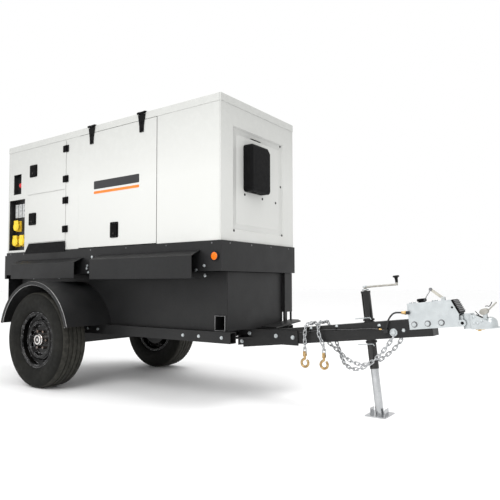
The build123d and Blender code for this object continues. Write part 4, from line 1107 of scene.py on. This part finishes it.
actuator_details()
filler_cap()
coupler_details()
latch_details()
hose_sleeve()
breakaway_details()


# -------- tongue, jack and frame details
def tongue_details():
    """Chain bolts with their washer, and the clips and plug of the harness."""
    washer = lathed([(0.0, 0.004), (0.0215, 0.004), (0.023, 0.0025), (0.023, 0.0), (0.0, 0.0)], 36)
    nut = prism(circle(0.015), 0.004, 0.014, 0.002)
    spots = [at(facing_right, x, TONGUE_FACE, z) for x, z in ((1.432, 0.496), (1.492, 0.512))]
    add_piece("chain_washer", placed(washer, spots[0]), "zinc")
    nuts = [placed(nut, spots[0]), placed(prism(circle(0.011), 0, 0.008, 0.002), spots[1])]
    add_parts("chain_nuts", nuts, "zinc")
    clips, screws = [], []
    for x, z in ((0.89, 0.476), (1.07, 0.497), (1.345, 0.513)):
        band = [(x, TONGUE_FACE - 0.0105 * sin(t), z + 0.0065 * cos(t))
                for t in (pi * i / 10 for i in range(11))]
        clips.append(wire(band, 0.0016, 8))
        screws.append(placed(screw(0.0065, 0.0035), at(facing_right, x, TONGUE_FACE, z + 0.02)))
        tab = prism(rounded(0.01, 0.022, 0.004), 0, 0.0012)
        clips.append(placed(tab, at(facing_right, x, TONGUE_FACE, z + 0.014)))
    add_parts("harness_clips", clips, "black_plastic")
    add_parts("clip_screws", screws, "zinc")
    plug = lathed([(0.0, 0.0), (0.0042, 0.0), (0.0048, 0.003), (0.0048, 0.014),
                   (0.0036, 0.016), (0.0036, 0.02), (0.0, 0.02)], 24)
    place = moved(1.345, -0.057, 0.5125) @ rotated(97, "Y")
    add_piece("harness_plug", placed(plug, place), "gold_zinc", BRASS)


def jack_details():
    """Locking rings, pins and top ring of the jack's outer tube, and the crank's nut."""
    axis = tongue_at(0.537, 0, 0)
    ring = lathed([(0.0277, -0.006), (0.0335, -0.006), (0.0345, -0.004), (0.0345, 0.004),
                   (0.0335, 0.006), (0.0277, 0.006)], 40)
    rings = [placed(ring, axis @ moved(0, 0, w)) for w in (0.066, -0.066)]
    add_parts("jack_rings", rings, "black_paint")
    pins = []
    for w in (0.078, -0.078):
        points = [(-0.075, -0.03, w), (-0.04, -0.031, w), (0.0, -0.0325, w),
                  (0.022, -0.034, w - 0.002), (0.03, -0.036, w - 0.012)]
        pins.append(wire([axis @ p for p in smooth_path(points)], 0.0028))
    add_parts("jack_pins", pins, "zinc")
    cap = lathed([(0.0105, 0.2445), (0.02, 0.2445), (0.0215, 0.247), (0.02, 0.2505),
                  (0.0105, 0.252)], 32)
    add_piece("jack_top_ring", placed(cap, axis), "zinc")
    nut = prism(circle(0.0155), 0.262, 0.272, 0.002)
    add_piece("crank_nut", placed(nut, axis), "zinc", body="jack_crank")


def frame_details():
    """Painted highlight lines along the fender edges and round the lifting tube's mouth, and the tank's
    bolts.
    """
    for name, side in (("right", -1), ("left", 1)):
        beads = []
        for reach in (0.4385, 0.4145):
            edge = []
            for step in range(61):
                turn = radians(15.5 + 149 * step / 60)
                edge.append((WHEEL.x + reach * cos(turn), side * 0.7372, WHEEL.z + reach * sin(turn)))
            beads.append(wire(edge, 0.0024, 8))
        # painted highlight: light beads along the fender's rolled lip
        add_parts(f"fender_highlight_bead_{name}", beads, "black_paint", HIGHLIGHT_EDGE)
        mouth = [(x, side * 0.3462, z) for x, z in
                 ((0.343, 0.475), (0.425, 0.475), (0.425, 0.571), (0.343, 0.571))]
        bead = wire(mouth, 0.0018, 6, closed=True)
        # painted highlight: a light outline round the lifting tube's mouth
        add_piece(f"lifting_mouth_highlight_{name}", bead, "black_paint", HIGHLIGHT_EDGE)
    heads = []
    for _, side, facing in SIDES:
        for x in (-1.72, -1.35, -0.9, -0.55, -0.15, 0.25):
            heads.append(placed(screw(0.008, 0.0045), at(facing, x, side * 0.338, 0.835)))
    add_parts("tank_bolts", heads, "zinc")


def skid_screws():
    """Small screws in painted shade zinc along the top edge of the skid, and two larger ones between its
    side boxes.
    """
    small, large = [], []
    for _, side, facing in SIDES:
        for x in (-1.9, -1.7, -0.8, -0.4, 0.0, 0.4):
            small.append(placed(screw(0.0036, 0.0024), at(facing, x, side * SKID_FACE, 1.04)))
        for x, z in ((-0.783, 0.986), (-0.845, 0.899)):
            large.append(placed(screw(0.0075, 0.0045), at(facing, x, side * SKID_FACE, z)))
    for y in (-0.36, -0.12, 0.12, 0.36):
        small.append(placed(screw(0.0036, 0.0024), at(facing_front, 0.478, y, 1.04)))
    # painted shade: the small screws take the darker zinc copy
    add_parts("skid_screws", small, "zinc", SHADED_ZINC)
    add_parts("skid_bolts", large, "zinc")


tongue_details()
jack_details()
frame_details()
skid_screws()
